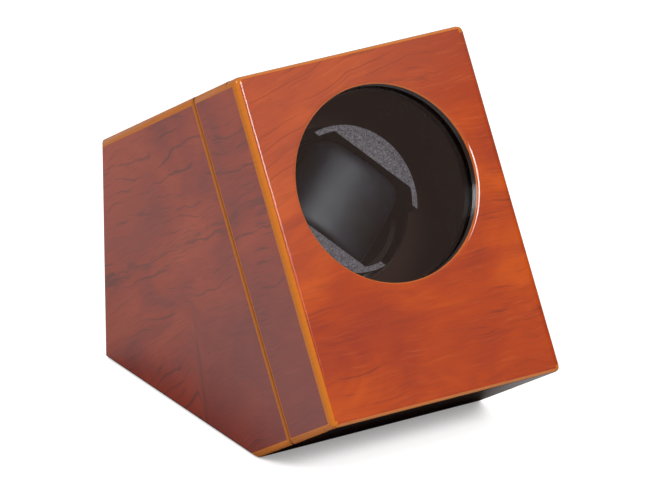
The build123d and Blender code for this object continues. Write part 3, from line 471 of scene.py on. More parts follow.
def dark_lacquer(colours, sizes):
    """Near-black gloss lacquer with a faint brown cast."""
    made, nodes = material("dark_lacquer")
    x, y, z = nodes.object_place()
    cloud = nodes.noise(nodes.vector(x, y, z), 22, 3)
    shade = nodes.mix(nodes.step(cloud, 0.4, 0.7), colours.lacquer, (0.02, 0.008, 0.005))
    nodes.finish(
        Base_Color=shade,
        Roughness=nodes.spread(cloud, 0.16, 0.24),
        Specular_IOR_Level=0.3,
        Normal=nodes.bump(cloud, 0.04, 0.0004),
    )
    return made


def plain_wood(colours, sizes):
    """Pale unfinished plywood edges and battens."""
    made, nodes = material("plain_wood")
    x, y, z = nodes.object_place()
    fibres = nodes.noise(nodes.vector(x * 700, y * 60, z * 60), 1.0, 4, 0.6)
    shade = nodes.ramp(fibres, [(0.3, linear(168, 130, 88)), (0.7, linear(206, 172, 124))])
    normal = nodes.bump(fibres, 0.2, 0.0003)
    nodes.finish(Base_Color=shade, Roughness=nodes.spread(fibres, 0.55, 0.75), Normal=normal)
    return made


def flock(colours, sizes):
    """Short dark flock of the deck and of the box's inside, its lighter warm fibres partly a painted
    reflection of the pane.
    """
    made, nodes = material("flock")
    x, y, z = nodes.object_place()
    place = nodes.vector(x, y, z)
    fuzz = nodes.noise(place, 2200, 2, 0.7)
    drift = nodes.noise(place, 30, 2)
    shade = nodes.mix(nodes.step(fuzz, 0.3, 0.75), (0.022, 0.011, 0.009), colours.lining_and_painted_reflection)
    shade = nodes.mix(nodes.step(drift, 0.4, 0.7) * 0.3, shade, (0.02, 0.011, 0.009))
    nodes.finish(
        Base_Color=shade,
        Roughness=nodes.spread(fuzz, 0.85, 1.0),
        Specular_IOR_Level=0.2,
        Sheen_Weight=0.2,
        Normal=nodes.bump(fuzz, 0.5, 0.0003),
    )
    return made


def felt(colours, sizes):
    """Pressed green-black felt under the base."""
    made, nodes = material("felt")
    x, y, z = nodes.object_place()
    place = nodes.vector(x, y, z)
    fuzz = nodes.noise(place, 1500, 4, 0.7, 1.0)
    shade = nodes.ramp(fuzz, [(0.3, linear(16, 22, 20)), (0.7, linear(38, 48, 44))])
    normal = nodes.bump(fuzz, 0.6, 0.0004)
    nodes.finish(Base_Color=shade, Roughness=nodes.spread(fuzz, 0.85, 1.0), Normal=normal)
    return made


def speckled_covering(colours, sizes):
    """The cup's granular covering: grey crumbs with lighter and darker ones among them."""
    made, nodes = material("speckled_covering")
    x, y, z = nodes.object_place()
    place = nodes.vector(x, y, z)
    crumbs = nodes.noise(place, 1300, 3, 0.75)
    coarse = nodes.noise(place, 520, 2, 0.6)
    grains = crumbs * 0.75 + coarse * 0.25
    dark = tuple(value * 0.3 for value in colours.covering)
    pale = tuple(min(1.0, value * 2.1) for value in colours.covering)
    shade = nodes.ramp(grains, [(0.36, dark), (0.51, tuple(colours.covering)), (0.66, pale)])
    nodes.finish(
        Base_Color=shade,
        Roughness=nodes.spread(grains, 0.7, 0.95),
        Specular_IOR_Level=0.3,
        Normal=nodes.bump(grains, 0.7, 0.0006),
    )
    return made


def black_satin(colours, sizes):
    """Smooth satin of the watch pillow, with a fine leather-like grain."""
    made, nodes = material("black_satin")
    x, y, z = nodes.object_place()
    place = nodes.vector(x, y, z)
    grain = nodes.cells(place, 2600)
    soft = nodes.noise(place, 60, 3)
    shade = nodes.mix(nodes.step(soft, 0.35, 0.7), colours.satin, (0.008, 0.009, 0.012))
    nodes.finish(
        Base_Color=shade,
        Roughness=nodes.spread(soft, 0.42, 0.52),
        Specular_IOR_Level=0.62,
        Specular_Tint=(0.78, 0.9, 1.0),
        Normal=nodes.bump(grain, 0.12, 0.0001),
    )
    return made


def clear_glass(colours, sizes):
    """The window's pane, which lets the light through and mirrors a little of it."""
    made, nodes = material("clear_glass")
    x, y, z = nodes.object_place()
    haze = nodes.noise(nodes.vector(x, y, z), 40, 2)
    gloss = nodes.add(
        "ShaderNodeBsdfPrincipled",
        {},
        {
            "Base Color": (0.95, 0.94, 0.92),
            "Metallic": 1.0,
            "Roughness": nodes.spread(haze, 0.005, 0.02),
        },
    )
    through = nodes.add("ShaderNodeBsdfTransparent", {}, {"Color": (0.98, 0.97, 0.96)})
    share = nodes.add("ShaderNodeFresnel", {}, {"IOR": 1.45})
    both = nodes.add("ShaderNodeMixShader", {}, {0: share, 1: through, 2: gloss})
    nodes.add("ShaderNodeOutputMaterial", {}, {"Surface": both})
    return made


def metal(name, light, dark, roughness, grain):
    """A metal with a fine brushed or turned grain."""
    made, nodes = material(name)
    x, y, z = nodes.object_place()
    brush = nodes.noise(nodes.vector(x * grain, y * grain * 0.08, z * grain * 0.08), 1.0, 3, 0.6)
    spots = nodes.noise(nodes.vector(x, y, z), 160, 3)
    shade = nodes.mix(nodes.step(spots, 0.35, 0.7), linear(*dark), linear(*light))
    nodes.finish(
        Base_Color=shade,
        Metallic=1.0,
        Roughness=nodes.spread(brush, roughness * 0.7, roughness * 1.4),
        Normal=nodes.bump(brush, 0.08, 0.0001),
    )
    return made


def moulded(name, light, dark, roughness, scale):
    """A moulded plastic or rubber, with a fine grain."""
    made, nodes = material(name)
    x, y, z = nodes.object_place()
    place = nodes.vector(x, y, z)
    grain = nodes.noise(place, scale, 3, 0.6)
    drift = nodes.noise(place, 45, 2)
    shade = nodes.mix(nodes.step(drift, 0.35, 0.7), linear(*dark), linear(*light))
    nodes.finish(
        Base_Color=shade,
        Roughness=nodes.spread(grain, roughness * 0.8, roughness * 1.2),
        Normal=nodes.bump(grain, 0.25, 0.0001),
    )
    return made


def board_green(colours, sizes):
    """Solder mask over tracks."""
    made, nodes = material("board_green")
    x, _, z = nodes.object_place()
    cells = nodes.cells(nodes.vector(x, 0, z), 260)
    tracks = nodes.step(cells, 0.35, 0.42)
    shade = nodes.mix(tracks, linear(16, 82, 50), linear(10, 56, 36))
    normal = nodes.bump(tracks, 0.2, 0.00005)
    nodes.finish(Base_Color=shade, Roughness=nodes.spread(tracks, 0.25, 0.35), Normal=normal)
    return made


def deselect():
    bpy.ops.object.select_all(action="DESELECT")


def only(piece):
    """Make this the one selected piece."""
    deselect()
    piece.select_set(True)
    bpy.context.view_layer.objects.active = piece


def apply_modifiers(piece):
    only(piece)
    for modifier in list(piece.modifiers):
        bpy.ops.object.modifier_apply(modifier=modifier.name)


def board(name, low, high):
    """A square-sawn board, from one corner to the other, in the front's own frame."""
    low, high = Vector(low), Vector(high)
    deselect()
    bpy.ops.mesh.primitive_cube_add(size=1, location=(low + high) / 2, scale=high - low)
    piece = bpy.context.object
    piece.name = name
    bpy.ops.object.transform_apply(location=True, rotation=True, scale=True)
    return piece


def saw(piece, point, normal):
    """Cut off what lies beyond a plane."""
    only(piece)
    bpy.ops.object.mode_set(mode="EDIT")
    bpy.ops.mesh.select_all(action="SELECT")
    bpy.ops.mesh.bisect(plane_co=point, plane_no=normal, use_fill=True, clear_outer=True, threshold=same)
    bpy.ops.object.mode_set(mode="OBJECT")


def round_over(piece, radius_of, steps):
    """Round the edges for which radius_of gives a radius."""
    mesh = piece.data
    radii = [radius_of(*(mesh.vertices[index].co for index in edge.vertices)) for edge in mesh.edges]
    weights = mesh.attributes.new("bevel_weight_edge", "FLOAT", "EDGE")
    weights.data.foreach_set("value", [radius / max(radii) for radius in radii])
    bevel = piece.modifiers.new("Round-over", "BEVEL")
    bevel.limit_method = "WEIGHT"
    bevel.width = max(radii)
    bevel.segments = steps
    apply_modifiers(piece)


def turned(name, profile, closed=True):
    """A piece turned about the window's axis, from its profile's radii and depths in the front's frame."""
    deselect()
    radius, depth = profile[0]
    bpy.ops.mesh.primitive_circle_add(
        vertices=circle_sides,
        radius=radius,
        fill_type="NOTHING",
        location=(0, depth, window_height),
        rotation=(pi / 2, 0, 0),
    )
    piece = bpy.context.object
    piece.name = name
    bpy.ops.object.transform_apply(location=True, rotation=True, scale=True)
    bpy.ops.object.mode_set(mode="EDIT")
    bpy.ops.mesh.select_all(action="SELECT")
    for next_radius, next_depth in [*profile[1:], *([profile[0]] if closed else [])]:
        bpy.ops.mesh.extrude_region_move(TRANSFORM_OT_translate={"value": (0, next_depth - depth, 0)})
        share = next_radius / radius
        bpy.ops.transform.resize(value=(share, 1, share), center_override=(0, next_depth, window_height))
        radius, depth = next_radius, next_depth
    bpy.ops.mesh.select_all(action="SELECT")
    bpy.ops.mesh.remove_doubles(threshold=same)
    if not closed:
        bpy.ops.mesh.fill_holes(sides=0)
        bpy.ops.mesh.select_all(action="SELECT")
    bpy.ops.mesh.normals_make_consistent(inside=False)
    bpy.ops.object.mode_set(mode="OBJECT")
    return piece


def cut_out(piece, cutter):
    """Cut one piece's shape out of another."""
    boolean = piece.modifiers.new("Cut", "BOOLEAN")
    boolean.operation = "DIFFERENCE"
    boolean.solver = "EXACT"
    boolean.object = cutter
    apply_modifiers(piece)
    bpy.data.objects.remove(cutter)


def quarter(wide, deep, steps):
    """Radii and depths of a quarter oval that leaves the front and turns into the window's bore."""
    turns = [pi / 2 * step / steps for step in range(steps + 1)]
    return [(window_radius + wide - wide * sin(turn), deep - deep * cos(turn)) for turn in turns]


def smooth(piece, angle=35):
    """Shade a piece smooth but for its sharp edges, and keep its flat faces flat."""
    only(piece)
    bpy.ops.object.shade_smooth_by_angle(angle=radians(angle))
    weighted = piece.modifiers.new("Weighted normals", "WEIGHTED_NORMAL")
    weighted.keep_sharp = True
    apply_modifiers(piece)


def paint(piece, coats, choose=None):
    """Give a piece its finishes, each face the one that choose names by its middle and normal."""
    piece.data.materials.clear()
    for coat in coats:
        piece.data.materials.append(finishes[coat])
    if choose:
        for face in piece.data.polygons:
            face.material_index = coats.index(choose(face.center, face.normal))


def set_down(piece):
    """Carry a piece from the front's own frame to its place in the box."""
    only(piece)
    piece.matrix_world = face_frame
    bpy.ops.object.transform_apply(location=True, rotation=True, scale=True)


def merged_copy(node, name, whole_faces=True):
    """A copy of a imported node, its loose triangles merged, and those of a flat face made one if asked."""
    piece = bpy.data.objects.new(name, frame["nodes"][node].data.copy())
    bpy.context.scene.collection.objects.link(piece)
    only(piece)
    bpy.ops.object.mode_set(mode="EDIT")
    bpy.ops.mesh.select_all(action="SELECT")
    bpy.ops.mesh.remove_doubles(threshold=merge)
    if whole_faces:
        bpy.ops.mesh.dissolve_limited(angle_limit=radians(1))
    bpy.ops.object.mode_set(mode="OBJECT")
    return piece


def copy_of(node, edge=0.0, steps=2):
    """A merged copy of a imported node, with its sharp edges eased."""
    piece = merged_copy(node, f"{node}_finished")
    if edge:
        bevel = piece.modifiers.new("Ease", "BEVEL")
        bevel.limit_method = "ANGLE"
        bevel.angle_limit = radians(40)
        bevel.width = edge
        bevel.segments = steps
        apply_modifiers(piece)
    smooth(piece)
    return piece


def seat(piece, node):
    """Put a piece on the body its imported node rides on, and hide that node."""
    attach(piece, body_of[node])
    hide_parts(node)


body_of = {node: body for body, nodes in frame["record"]["behaviour"]["bodies"].items() for node in nodes}
finishes = {}  # the materials by their names


def finish_node(node, finish):
    """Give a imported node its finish."""
    for slot in frame["nodes"][node].material_slots:
        slot.material = finishes[finish]


class WinderOperator(bpy.types.Operator):
    """What the winder's operators share."""

    bl_options = {"REGISTER", "UNDO"}

    @property
    def sizes(self):
        return bpy.context.scene.winder_sizes

    @property
    def colours(self):
        return bpy.context.scene.winder_colours

    def dress(self, copied, kept):
        """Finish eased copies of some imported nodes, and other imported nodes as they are."""
        for node, finish, edge in copied:
            piece = copy_of(node, edge)
            paint(piece, [finish])
            seat(piece, node)
        for node, finish in kept:
            finish_node(node, finish)


class WINDER_OT_finishes(WinderOperator):
    """Make the materials"""

    bl_idname = "winder.finishes"
    bl_label = "Finishes"

    def execute(self, context):
        for make in (
            front_veneer,
            side_veneer,
            rear_veneer,
            dark_lacquer,
            plain_wood,
            flock,
            felt,
            speckled_covering,
            black_satin,
            clear_glass,
            board_green,
        ):
            finishes[make.__name__] = make(self.colours, self.sizes)
        for name, light, dark, roughness, grain in (
            ("brass", (214, 178, 102), (190, 150, 82), 0.22, 900),
            ("steel", (196, 198, 202), (150, 152, 158), 0.28, 1400),
            ("plate_alloy", (180, 184, 188), (158, 162, 166), 0.42, 500),
            ("magnet_plating", (206, 206, 204), (176, 176, 176), 0.16, 600),
        ):
            finishes[name] = metal(name, light, dark, roughness, grain)
        for name, light, dark, roughness, grain in (
            ("nylon", (222, 218, 206), (206, 200, 186), 0.45, 900),
            ("belt_rubber", (34, 34, 34), (20, 20, 20), 0.7, 1400),
            ("black_plastic", (34, 34, 36), (22, 22, 23), 0.48, 1800),
            ("black_gloss", (16, 16, 17), (9, 9, 10), 0.16, 700),
            ("wire_cover", (168, 34, 28), (140, 24, 20), 0.4, 800),
            # Warm brown, lighter than black screws: painted reflection of the pane over them, as on the
            # flock.
            ("black_screw", (56, 38, 33), (46, 31, 27), 0.8, 1400),
            # The cup's dark finish is partly its own black and partly painted shade on its walls and the
            # cheeks' walls.
            ("cup_lining", (17, 11, 10), (12, 8, 7), 0.9, 1600),
            # Lighter and warmer than its black plastic: painted light, for the pane's warm reflection over
            # its shade.
            ("ring_black", (44, 31, 27), (36, 25, 22), 0.16, 700),
            ("chip_black", (40, 40, 42), (28, 28, 30), 0.5, 1200),
        ):
            finishes[name] = moulded(name, light, dark, roughness, grain)
        return {"FINISHED"}


class WINDER_OT_case_sides(WinderOperator):
    """Saw and round the two sides of the case"""

    bl_idname = "winder.case_sides"
    bl_label = "Case sides"

    def execute(self, context):
        sizes = self.sizes
        past_back = 0.4  # how deep the board starts, before its back is sawn off
        back_normal = face_frame.to_3x3().inverted() @ Vector((0, 1, 0))
        base_normal = face_frame.to_3x3().inverted() @ Vector((0, 0, -1))
        back_point = face_frame.inverted() @ Vector((0, back_y, felt_top))

        def side(name, node, hand):
            outer = hand * half_width
            inner = hand * (half_width - panel)
            low = (min(outer, inner), case_front, 0)
            piece = board(name, low, (max(outer, inner), past_back, face_height))
            saw(piece, back_point, back_normal)
            saw(piece, back_point, base_normal)

            def radius_of(a, b):
                if not all(abs(point.x - outer) < same for point in (a, b)):
                    return 0.0
                if all(abs(point.z - face_height) < same for point in (a, b)):
                    return sizes.top_round
                if all(abs(point.z) < same for point in (a, b)):
                    return sizes.under_round
                if all(abs(point.y - case_front) < same for point in (a, b)):
                    return sizes.seam_round
                if all(abs((point - back_point).dot(back_normal)) < same for point in (a, b)):
                    return sizes.back_round
                return sizes.edge_break

            round_over(piece, radius_of, sizes.round_steps)

            def choose(middle, normal):
                if normal.x * hand < -0.9 or normal.y < -0.9:
                    return "flock"
                if normal.z > 0.99 or normal.dot(back_normal) > 0.99:
                    return "rear_veneer"
                under = normal.z < -0.99 or normal.dot(base_normal) > 0.99
                return "dark_lacquer" if under else "side_veneer"

            paint(piece, ("side_veneer", "flock", "rear_veneer", "dark_lacquer"), choose)
            set_down(piece)
            smooth(piece)
            seat(piece, node)

        side("case_side_left", "left_side_panel", -1)
        side("case_side_right", "right_side_panel", 1)
        return {"FINISHED"}


class WINDER_OT_case_panels(WinderOperator):
    """Finish the top, back, underside and base of the case"""

    bl_idname = "winder.case_panels"
    bl_label = "Case panels"

    def execute(self, context):
        for node, outside, finish, slot in (
            ("top_panel", up_face, "rear_veneer", "veneer"),
            ("back_panel", Vector((0, 1, 0)), "rear_veneer", "veneer"),
            ("underside_panel", -up_face, "dark_lacquer", "dark_lacquer"),
            ("base_panel", Vector((0, 0, -1)), "dark_lacquer", "dark_lacquer"),
            ("door_top_rail", up_face, "rear_veneer", "veneer"),
            ("door_bottom_rail", -up_face, "dark_lacquer", "dark_lacquer"),
        ):
            piece = copy_of(node)

            def choose(middle, normal):
                return finish if normal.dot(outside) > 0.9 else "flock"

            paint(piece, (finish, "flock"), choose)
            seat(piece, node)
        return {"FINISHED"}


class WINDER_OT_door_front(WinderOperator):
    """Shape the front of the door and cut its window"""

    bl_idname = "winder.door_front"
    bl_label = "Door front"

    def execute(self, context):
        sizes = self.sizes
        piece = board("door_front", (-half_width, 0, 0), (half_width, front_thickness, face_height))

        def radius_of(a, b):
            if abs(a.y - b.y) > same:
                return sizes.top_round if a.z > face_height / 2 else sizes.under_round
            if a.y > same:
                return 0.0
            if abs(a.x - b.x) < same:
                return sizes.side_round
            return sizes.front_top_round if a.z > face_height / 2 else sizes.front_low_round

        round_over(piece, radius_of, sizes.round_steps)
        mouth = window_radius + sizes.window_round
        clear = 0.005  # how far the cutter reaches past both faces
        hub = 0.002  # the radius where its ends are closed
        profile = [(hub, -clear), (mouth, -clear)]
        profile += quarter(sizes.window_round, sizes.window_fall, 2 * sizes.round_steps)
        ribs, rib = 3, 0.0004  # how many fine ribs the bore has, and how far they stand out
        pitch = (pane_depth - sizes.window_fall) / ribs
        for number in range(ribs):
            start = sizes.window_fall + pitch * number
            profile += [(window_radius - rib, start + rib * 1.1), (window_radius, start + pitch)]
        profile += [(pane_seat_radius, pane_depth)]
        profile += [(pane_seat_radius, front_thickness + clear), (hub, front_thickness + clear)]
        cut_out(piece, turned("window_cutter", profile, closed=False))

        def choose(middle, normal):
            reach = Vector((middle.x, middle.z - window_height)).length
            # The bore takes the ring's finish, whose warm brown is painted light.
            if reach < window_radius + 2 * rib and sizes.window_fall < middle.y < pane_depth - 1e-5:
                return "ring_black"
            if normal.y > 0.9 or (middle.y > pane_depth and reach < pane_seat_radius + 0.001):
                return "flock"
            if abs(normal.x) > 0.75 and abs(middle.x) > half_width - 0.002:
                return "side_veneer"
            if normal.z > 0.9 and middle.z > face_height - 0.001:
                return "rear_veneer"
            if normal.z < -0.9 and middle.z < 0.001:
                return "dark_lacquer"
            outside = middle.y > 0.005 and reach > window_radius + 0.005
            return "side_veneer" if outside else "front_veneer"

        coats = ("front_veneer", "side_veneer", "rear_veneer", "flock", "dark_lacquer", "ring_black")
        paint(piece, coats, choose)
        set_down(piece)
        smooth(piece, 30)
        seat(piece, "door_front_panel")
        return {"FINISHED"}


class WINDER_OT_door_rails(WinderOperator):
    """Round the two sides of the door"""

    bl_idname = "winder.door_rails"
    bl_label = "Door rails"

    def execute(self, context):
        sizes = self.sizes

        def rail(name, node, hand):
            outer = hand * half_width
            inner = hand * (half_width - panel)
            low = (min(outer, inner), front_thickness, 0)
            piece = board(name, low, (max(outer, inner), door_back, face_height))

            def radius_of(a, b):
                if not all(abs(point.x - outer) < same for point in (a, b)):
                    return 0.0
                if abs(a.y - b.y) > same:
                    return sizes.top_round if a.z > face_height / 2 else sizes.under_round
                return sizes.seam_round if a.y > front_thickness + same else 0.0

            round_over(piece, radius_of, sizes.round_steps)

            def choose(middle, normal):
                if normal.x * hand < -0.9 or abs(normal.y) > 0.9:
                    return "flock"
                if normal.z > 0.99:
                    return "rear_veneer"
                return "dark_lacquer" if normal.z < -0.99 else "side_veneer"

            paint(piece, ("side_veneer", "flock", "rear_veneer", "dark_lacquer"), choose)
            set_down(piece)
            smooth(piece)
            seat(piece, node)

        rail("door_side_left", "door_left_rail", -1)
        rail("door_side_right", "door_right_rail", 1)
        return {"FINISHED"}


class WINDER_OT_window(WinderOperator):
    """Turn the ring that holds the pane, with its fine ribs"""

    bl_idname = "winder.window"
    bl_label = "Window"

    def execute(self, context):
        ring_low, ring_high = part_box("pane_ring")
        flange = (ring_high.x - ring_low.x) / 2
        bore = window_radius - 0.001
        body = pane_seat_radius - pane_play
        start = pane_depth + pane_thickness
        end = front_thickness + 0.0015  # the flange is 1.5 mm thick
        ease = 0.0004
        profile = [(bore, start), (body, start), (body, front_thickness), (flange, front_thickness)]
        profile += [(flange, end - ease), (flange - ease, end), (bore + ease, end), (bore, end - ease)]
        beads, bead = 3, 0.0005  # how many fine ribs the ring's bore has, and half their width
        pitch = (end - ease - start) / beads
        for number in range(beads):
            middle = end - ease - pitch * (number + 0.5)
            turns = [pi * step / 6 for step in range(7)]
            profile += [(bore - bead * 0.6 * sin(turn), middle + bead * cos(turn)) for turn in turns]
        piece = turned("window_ring", profile)
        paint(piece, ["ring_black"])
        set_down(piece)
        smooth(piece, 30)
        seat(piece, "pane_ring")
        finish_node("window_pane", "clear_glass")
        return {"FINISHED"}


class WINDER_OT_cup(WinderOperator):
    """Cover the cup and its cheeks"""

    bl_idname = "winder.cup"
    bl_label = "Cup and cheeks"

    def execute(self, context):
        rim_level = min(point.co.dot(inward) for point in frame["nodes"]["rotor_cup"].data.vertices)
        for node in ("rotor_cup", "upper_cheek", "lower_cheek"):
            piece = copy_of(node, 0.0003, 3)

            # Faces other than the rim's front are darkened, partly as painted shade.
            def choose(middle, normal):
                rim = normal.dot(-inward) > 0.75 and middle.dot(inward) < rim_level + 0.001
                return "speckled_covering" if rim else "cup_lining"

            paint(piece, ("speckled_covering", "cup_lining"), choose)
            seat(piece, node)
        return {"FINISHED"}


class WINDER_OT_pillow(WinderOperator):
    """Stuff the watch pillow"""

    bl_idname = "winder.pillow"
    bl_label = "Watch pillow"

    def execute(self, context):
        piece = merged_copy("watch_pillow", "pillow", whole_faces=False)
        remesh = piece.modifiers.new("Remesh", "REMESH")
        remesh.mode = "VOXEL"
        remesh.voxel_size = 0.002
        apply_modifiers(piece)
        low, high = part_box("watch_pillow")
        middle = (low + high) / 2
        cup_turn = radians(48)  # how far the cup is turned at rest
        axis = Vector((sin(cup_turn), 0, 0)) + up_face * cos(cup_turn)  # from cheek to cheek
        taken_in = 0.985  # leaves room for the cloth to swell
        end_swell = 0.1  # how much fuller the two ends are than the middle
        half = max((point.co - middle).dot(axis) for point in piece.data.vertices)
        for point in piece.data.vertices:
            along = (point.co - middle).dot(axis)
            aside = point.co - middle - axis * along
            fuller = 1 + end_swell * abs(along / half) ** 3
            point.co = middle + axis * along * taken_in + aside * fuller * taken_in
        self.stuff(piece, pressure=3, frames=15, reach=0.0008)
        subdivision = piece.modifiers.new("Subdivision", "SUBSURF")
        subdivision.levels = subdivision.render_levels = 1
        apply_modifiers(piece)
        paint(piece, ["black_satin"])
        only(piece)
        bpy.ops.object.shade_smooth()
        seat(piece, "watch_pillow")
        return {"FINISHED"}

    def stuff(self, piece, pressure, frames, reach):
        """Swell the pillow like stuffed cloth, no point by more than reach."""
        rest = [point.co.copy() for point in piece.data.vertices]
        cloth = piece.modifiers.new("Cloth", "CLOTH")
        cloth.settings.use_pressure = True
        cloth.settings.uniform_pressure_force = pressure
        cloth.settings.effector_weights.gravity = 0
        scene = bpy.context.scene
        for number in range(1, frames + 1):
            scene.frame_set(number)
        apply_modifiers(piece)
        scene.frame_set(1)
        for point, start in zip(piece.data.vertices, rest):
            moved = point.co - start
            if moved.length > reach:
                point.co = start + moved * (reach / moved.length)


class WINDER_OT_drive(WinderOperator):
    """Finish the drive behind the cup"""

    bl_idname = "winder.drive"
    bl_label = "Drive"

    def execute(self, context):
        copied = (
            ("rotor_pulley", "nylon", 0.0003),
            ("motor_pulley", "nylon", 0.0002),
            ("motor_can", "steel", 0.0),
            ("motor_gearbox", "brass", 0.0003),
            ("rotor_bearing", "brass", 0.0002),
            ("drive_belt", "belt_rubber", 0.0),
            ("rotor_shaft", "steel", 0.0002),
            ("motor_shaft", "steel", 0.0002),
            ("motor_lead", "wire_cover", 0.0),
        )
        kept = (
            ("front_deck", "flock"),
            ("deck_battens", "plain_wood"),
            ("deck_screws", "black_screw"),
            ("drive_plate", "plate_alloy"),
            ("plate_standoffs", "brass"),
            ("standoff_screws", "steel"),
            ("plate_screws", "steel"),
            ("motor_screws", "steel"),
            ("cup_screws", "steel"),
            ("thrust_washer", "nylon"),
            ("shaft_clip", "steel"),
        )
        self.dress(copied, kept)
        return {"FINISHED"}


class WINDER_OT_controls(WinderOperator):
    """Finish the controls on the back"""

    bl_idname = "winder.controls"
    bl_label = "Controls"

    def execute(self, context):
        copied = (
            ("control_tray", "black_plastic", 0.0004),
            ("turns_knob", "black_plastic", 0.0005),
            ("direction_knob", "black_plastic", 0.0005),
            ("rocker_housing", "black_plastic", 0.0003),
            ("power_rocker", "black_gloss", 0.0004),
            ("power_jack", "black_plastic", 0.0003),
        )
        kept = (
            ("tray_screws", "steel"),
            ("control_board", "board_green"),
            ("board_components", "chip_black"),
            ("board_screws", "steel"),
            ("turns_selector_body", "black_plastic"),
            ("direction_selector_body", "black_plastic"),
            ("turns_knob_shaft", "steel"),
            ("direction_knob_shaft", "steel"),
        )
        self.dress(copied, kept)
        return {"FINISHED"}


class WINDER_OT_hinges(WinderOperator):
    """Finish the hinges, magnets and felt"""

    bl_idname = "winder.hinges"
    bl_label = "Hinges, magnets and felt"

    def execute(self, context):
        copied = (
            ("hinge_case_leaves", "brass", 0.00015),
            ("hinge_door_leaves", "brass", 0.00015),
            ("hinge_pins", "brass", 0.0002),
        )
        kept = (
            ("hinge_case_screws", "brass"),
            ("hinge_door_screws", "brass"),
            ("case_magnets", "magnet_plating"),
            ("door_strikes", "steel"),
            ("base_felt", "felt"),
        )
        self.dress(copied, kept)
        return {"FINISHED"}


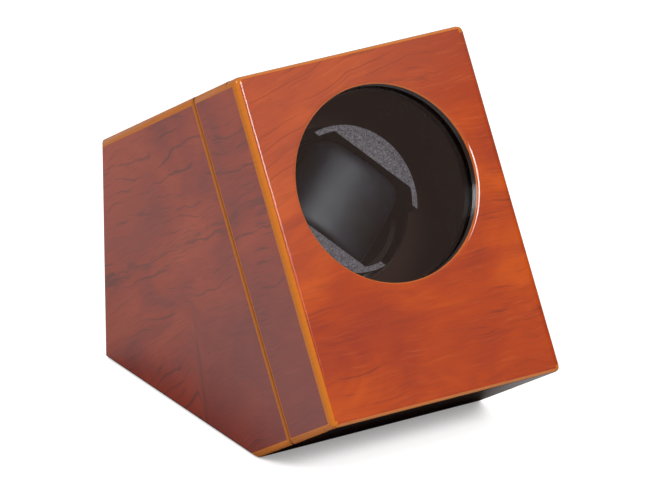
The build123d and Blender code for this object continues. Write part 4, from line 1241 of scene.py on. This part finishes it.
class WINDER_OT_stage(WinderOperator):
    """Set the camera, the lights and the pale floor"""

    bl_idname = "winder.stage"
    bl_label = "Stage"

    def execute(self, context):
        self.camera(context)
        self.lights(context)
        self.floor()
        context.scene.view_settings.view_transform = "Standard"
        return {"FINISHED"}

    def camera(self, context):
        """The photograph's view: a long lens from the left and above."""
        aim = Vector((-0.0023, -0.0048, 0.0995))
        distance = 5.125
        azimuth, elevation, roll = radians(31.406), radians(22.985), radians(0.432)
        focal_share = 9000 / 660  # focal length by the picture's width
        forward = Vector((sin(azimuth) * cos(elevation), cos(azimuth) * cos(elevation), -sin(elevation)))
        level = Vector((cos(azimuth), -sin(azimuth), 0))
        upright = level.cross(forward)
        right = level * cos(roll) - upright * sin(roll)
        top = level * sin(roll) + upright * cos(roll)
        data = bpy.data.cameras.new("camera")
        data.sensor_width = 36
        data.lens = data.sensor_width * focal_share
        data.clip_end = 60
        camera = bpy.data.objects.new("camera", data)
        context.scene.collection.objects.link(camera)
        axes = Matrix((right, top, -forward)).transposed()
        camera.matrix_world = Matrix.Translation(aim - forward * distance) @ axes.to_4x4()
        context.scene.camera = camera

    def lights(self, context):
        """Two soft lamps, and a plain room that is white where it is seen."""
        aim = Vector((0, 0, 0.12))
        distance = 2.6
        for name, azimuth, elevation, wide, high, power in (
            ("key", 12, 38.5, 0.8, 0.62, 35.5),
            ("left", -75, 45, 1.05, 1.05, 29),
        ):
            turn, rise = radians(azimuth), radians(elevation)
            towards = Vector((sin(turn) * cos(rise), -cos(turn) * cos(rise), sin(rise)))
            data = bpy.data.lights.new(name, "AREA")
            data.shape = "RECTANGLE"
            data.size, data.size_y = wide, high
            data.energy = power
            lamp = bpy.data.objects.new(name, data)
            context.scene.collection.objects.link(lamp)
            lamp.location = aim + towards * distance
            lamp.rotation_euler = towards.to_track_quat("Z", "Y").to_euler()
        world = bpy.data.worlds.new("studio")
        context.scene.world = world
        nodes = Nodes(world)
        direction = nodes.add("ShaderNodeTexCoord", {}, {}, "Generated")
        behind = nodes.add("ShaderNodeSeparateXYZ", {}, {0: direction}, 1)
        warm_front, grey_rear, white = (0.26, 0.15, 0.12), (0.45, 0.45, 0.45), (1, 1, 1)
        room = nodes.mix(nodes.step(behind, -0.7, 0.3), warm_front, grey_rear)
        seen, mirrored = self.seen(nodes)
        share = seen.maths("MAXIMUM", seen, mirrored * 0.1)
        sky = nodes.add("ShaderNodeBackground", {}, {"Color": nodes.mix(share, room, white), "Strength": 1})
        nodes.add("ShaderNodeOutputWorld", {}, {"Surface": sky})

    def seen(self, nodes):
        """1 for what the camera sees, also through glass, and 1 for what is mirrored."""
        rays = ("Is Camera Ray", "Is Transmission Ray", "Is Glossy Ray")
        camera, glass, gloss = [nodes.add("ShaderNodeLightPath", {}, {}, ray) for ray in rays]
        return camera.maths("MAXIMUM", camera, glass), gloss

    def open_air(self, nodes, reach, closed, clear):
        """How open the floor is within reach, from 0 at the closed share of open air to 1 at the clear."""
        share = nodes.add("ShaderNodeAmbientOcclusion", {"samples": 8}, {"Distance": reach}, "AO")
        return nodes.step(share, closed, clear)

    def floor(self):
        """A pale floor that shows white to the camera and keeps the box's shadow, with painted shadow where
        the box shelters it.
        """
        deselect()
        bpy.ops.mesh.primitive_plane_add(size=24, location=(0, 0, 0))
        floor = bpy.context.object
        floor.name = "floor"
        bpy.ops.object.transform_apply(location=True, rotation=True, scale=True)
        made, nodes = material("pale_floor")
        x, y, z = nodes.object_place()
        speck = nodes.noise(nodes.vector(x, y, z), 3, 2)
        shade = nodes.mix(speck, (0.6, 0.6, 0.6), (0.62, 0.62, 0.62))
        sheltered = self.open_air(nodes, 0.08, 0.9, 0.35)
        seen, mirrored = self.seen(nodes)
        # Where the box shelters the floor, its colour turns near black and its glow goes out, seen only in
        # reflections: a painted shadow.
        shade = nodes.mix(mirrored * sheltered * 0.9, shade, (0.05, 0.035, 0.03))
        # The floor's glow for the camera fades close to the box: a painted contact shadow.
        seen = seen * (self.open_air(nodes, 0.02, 0.0, 0.5) * 0.7 + 0.3)
        lift = seen.maths("MAXIMUM", seen, mirrored * (1 - sheltered) * 0.15) * 0.8
        nodes.finish(
            Base_Color=shade,
            Roughness=0.9,
            Specular_IOR_Level=0.0,
            Emission_Color=nodes.mix(lift, (0, 0, 0), (1, 1, 1)),
            Emission_Strength=1.0,
        )
        floor.data.materials.append(made)


class WINDER_PT_panel(bpy.types.Panel):
    """The winder's steps, in order"""

    bl_label = "Watch Winder"
    bl_idname = "WINDER_PT_panel"
    bl_space_type = "VIEW_3D"
    bl_region_type = "UI"
    bl_category = "Winder"

    def draw(self, context):
        for operator in steps:
            self.layout.operator(operator.bl_idname)
        for group in (context.scene.winder_sizes, context.scene.winder_colours):
            for name in group.__annotations__:
                self.layout.prop(group, name)


steps = (
    WINDER_OT_stage,
    WINDER_OT_finishes,
    WINDER_OT_case_sides,
    WINDER_OT_case_panels,
    WINDER_OT_door_front,
    WINDER_OT_door_rails,
    WINDER_OT_window,
    WINDER_OT_cup,
    WINDER_OT_pillow,
    WINDER_OT_drive,
    WINDER_OT_controls,
    WINDER_OT_hinges,
)
classes = (WinderSizes, WinderColours, *steps, WINDER_PT_panel)


def register():
    for made in classes:
        bpy.utils.register_class(made)
    bpy.types.Scene.winder_sizes = PointerProperty(type=WinderSizes)
    bpy.types.Scene.winder_colours = PointerProperty(type=WinderColours)


def unregister():
    del bpy.types.Scene.winder_colours
    del bpy.types.Scene.winder_sizes
    for made in reversed(classes):
        bpy.utils.unregister_class(made)


def main():
    register()
    for operator in steps:
        getattr(bpy.ops.winder, operator.bl_idname.split(".")[1])()


if __name__ == "__main__":
    main()
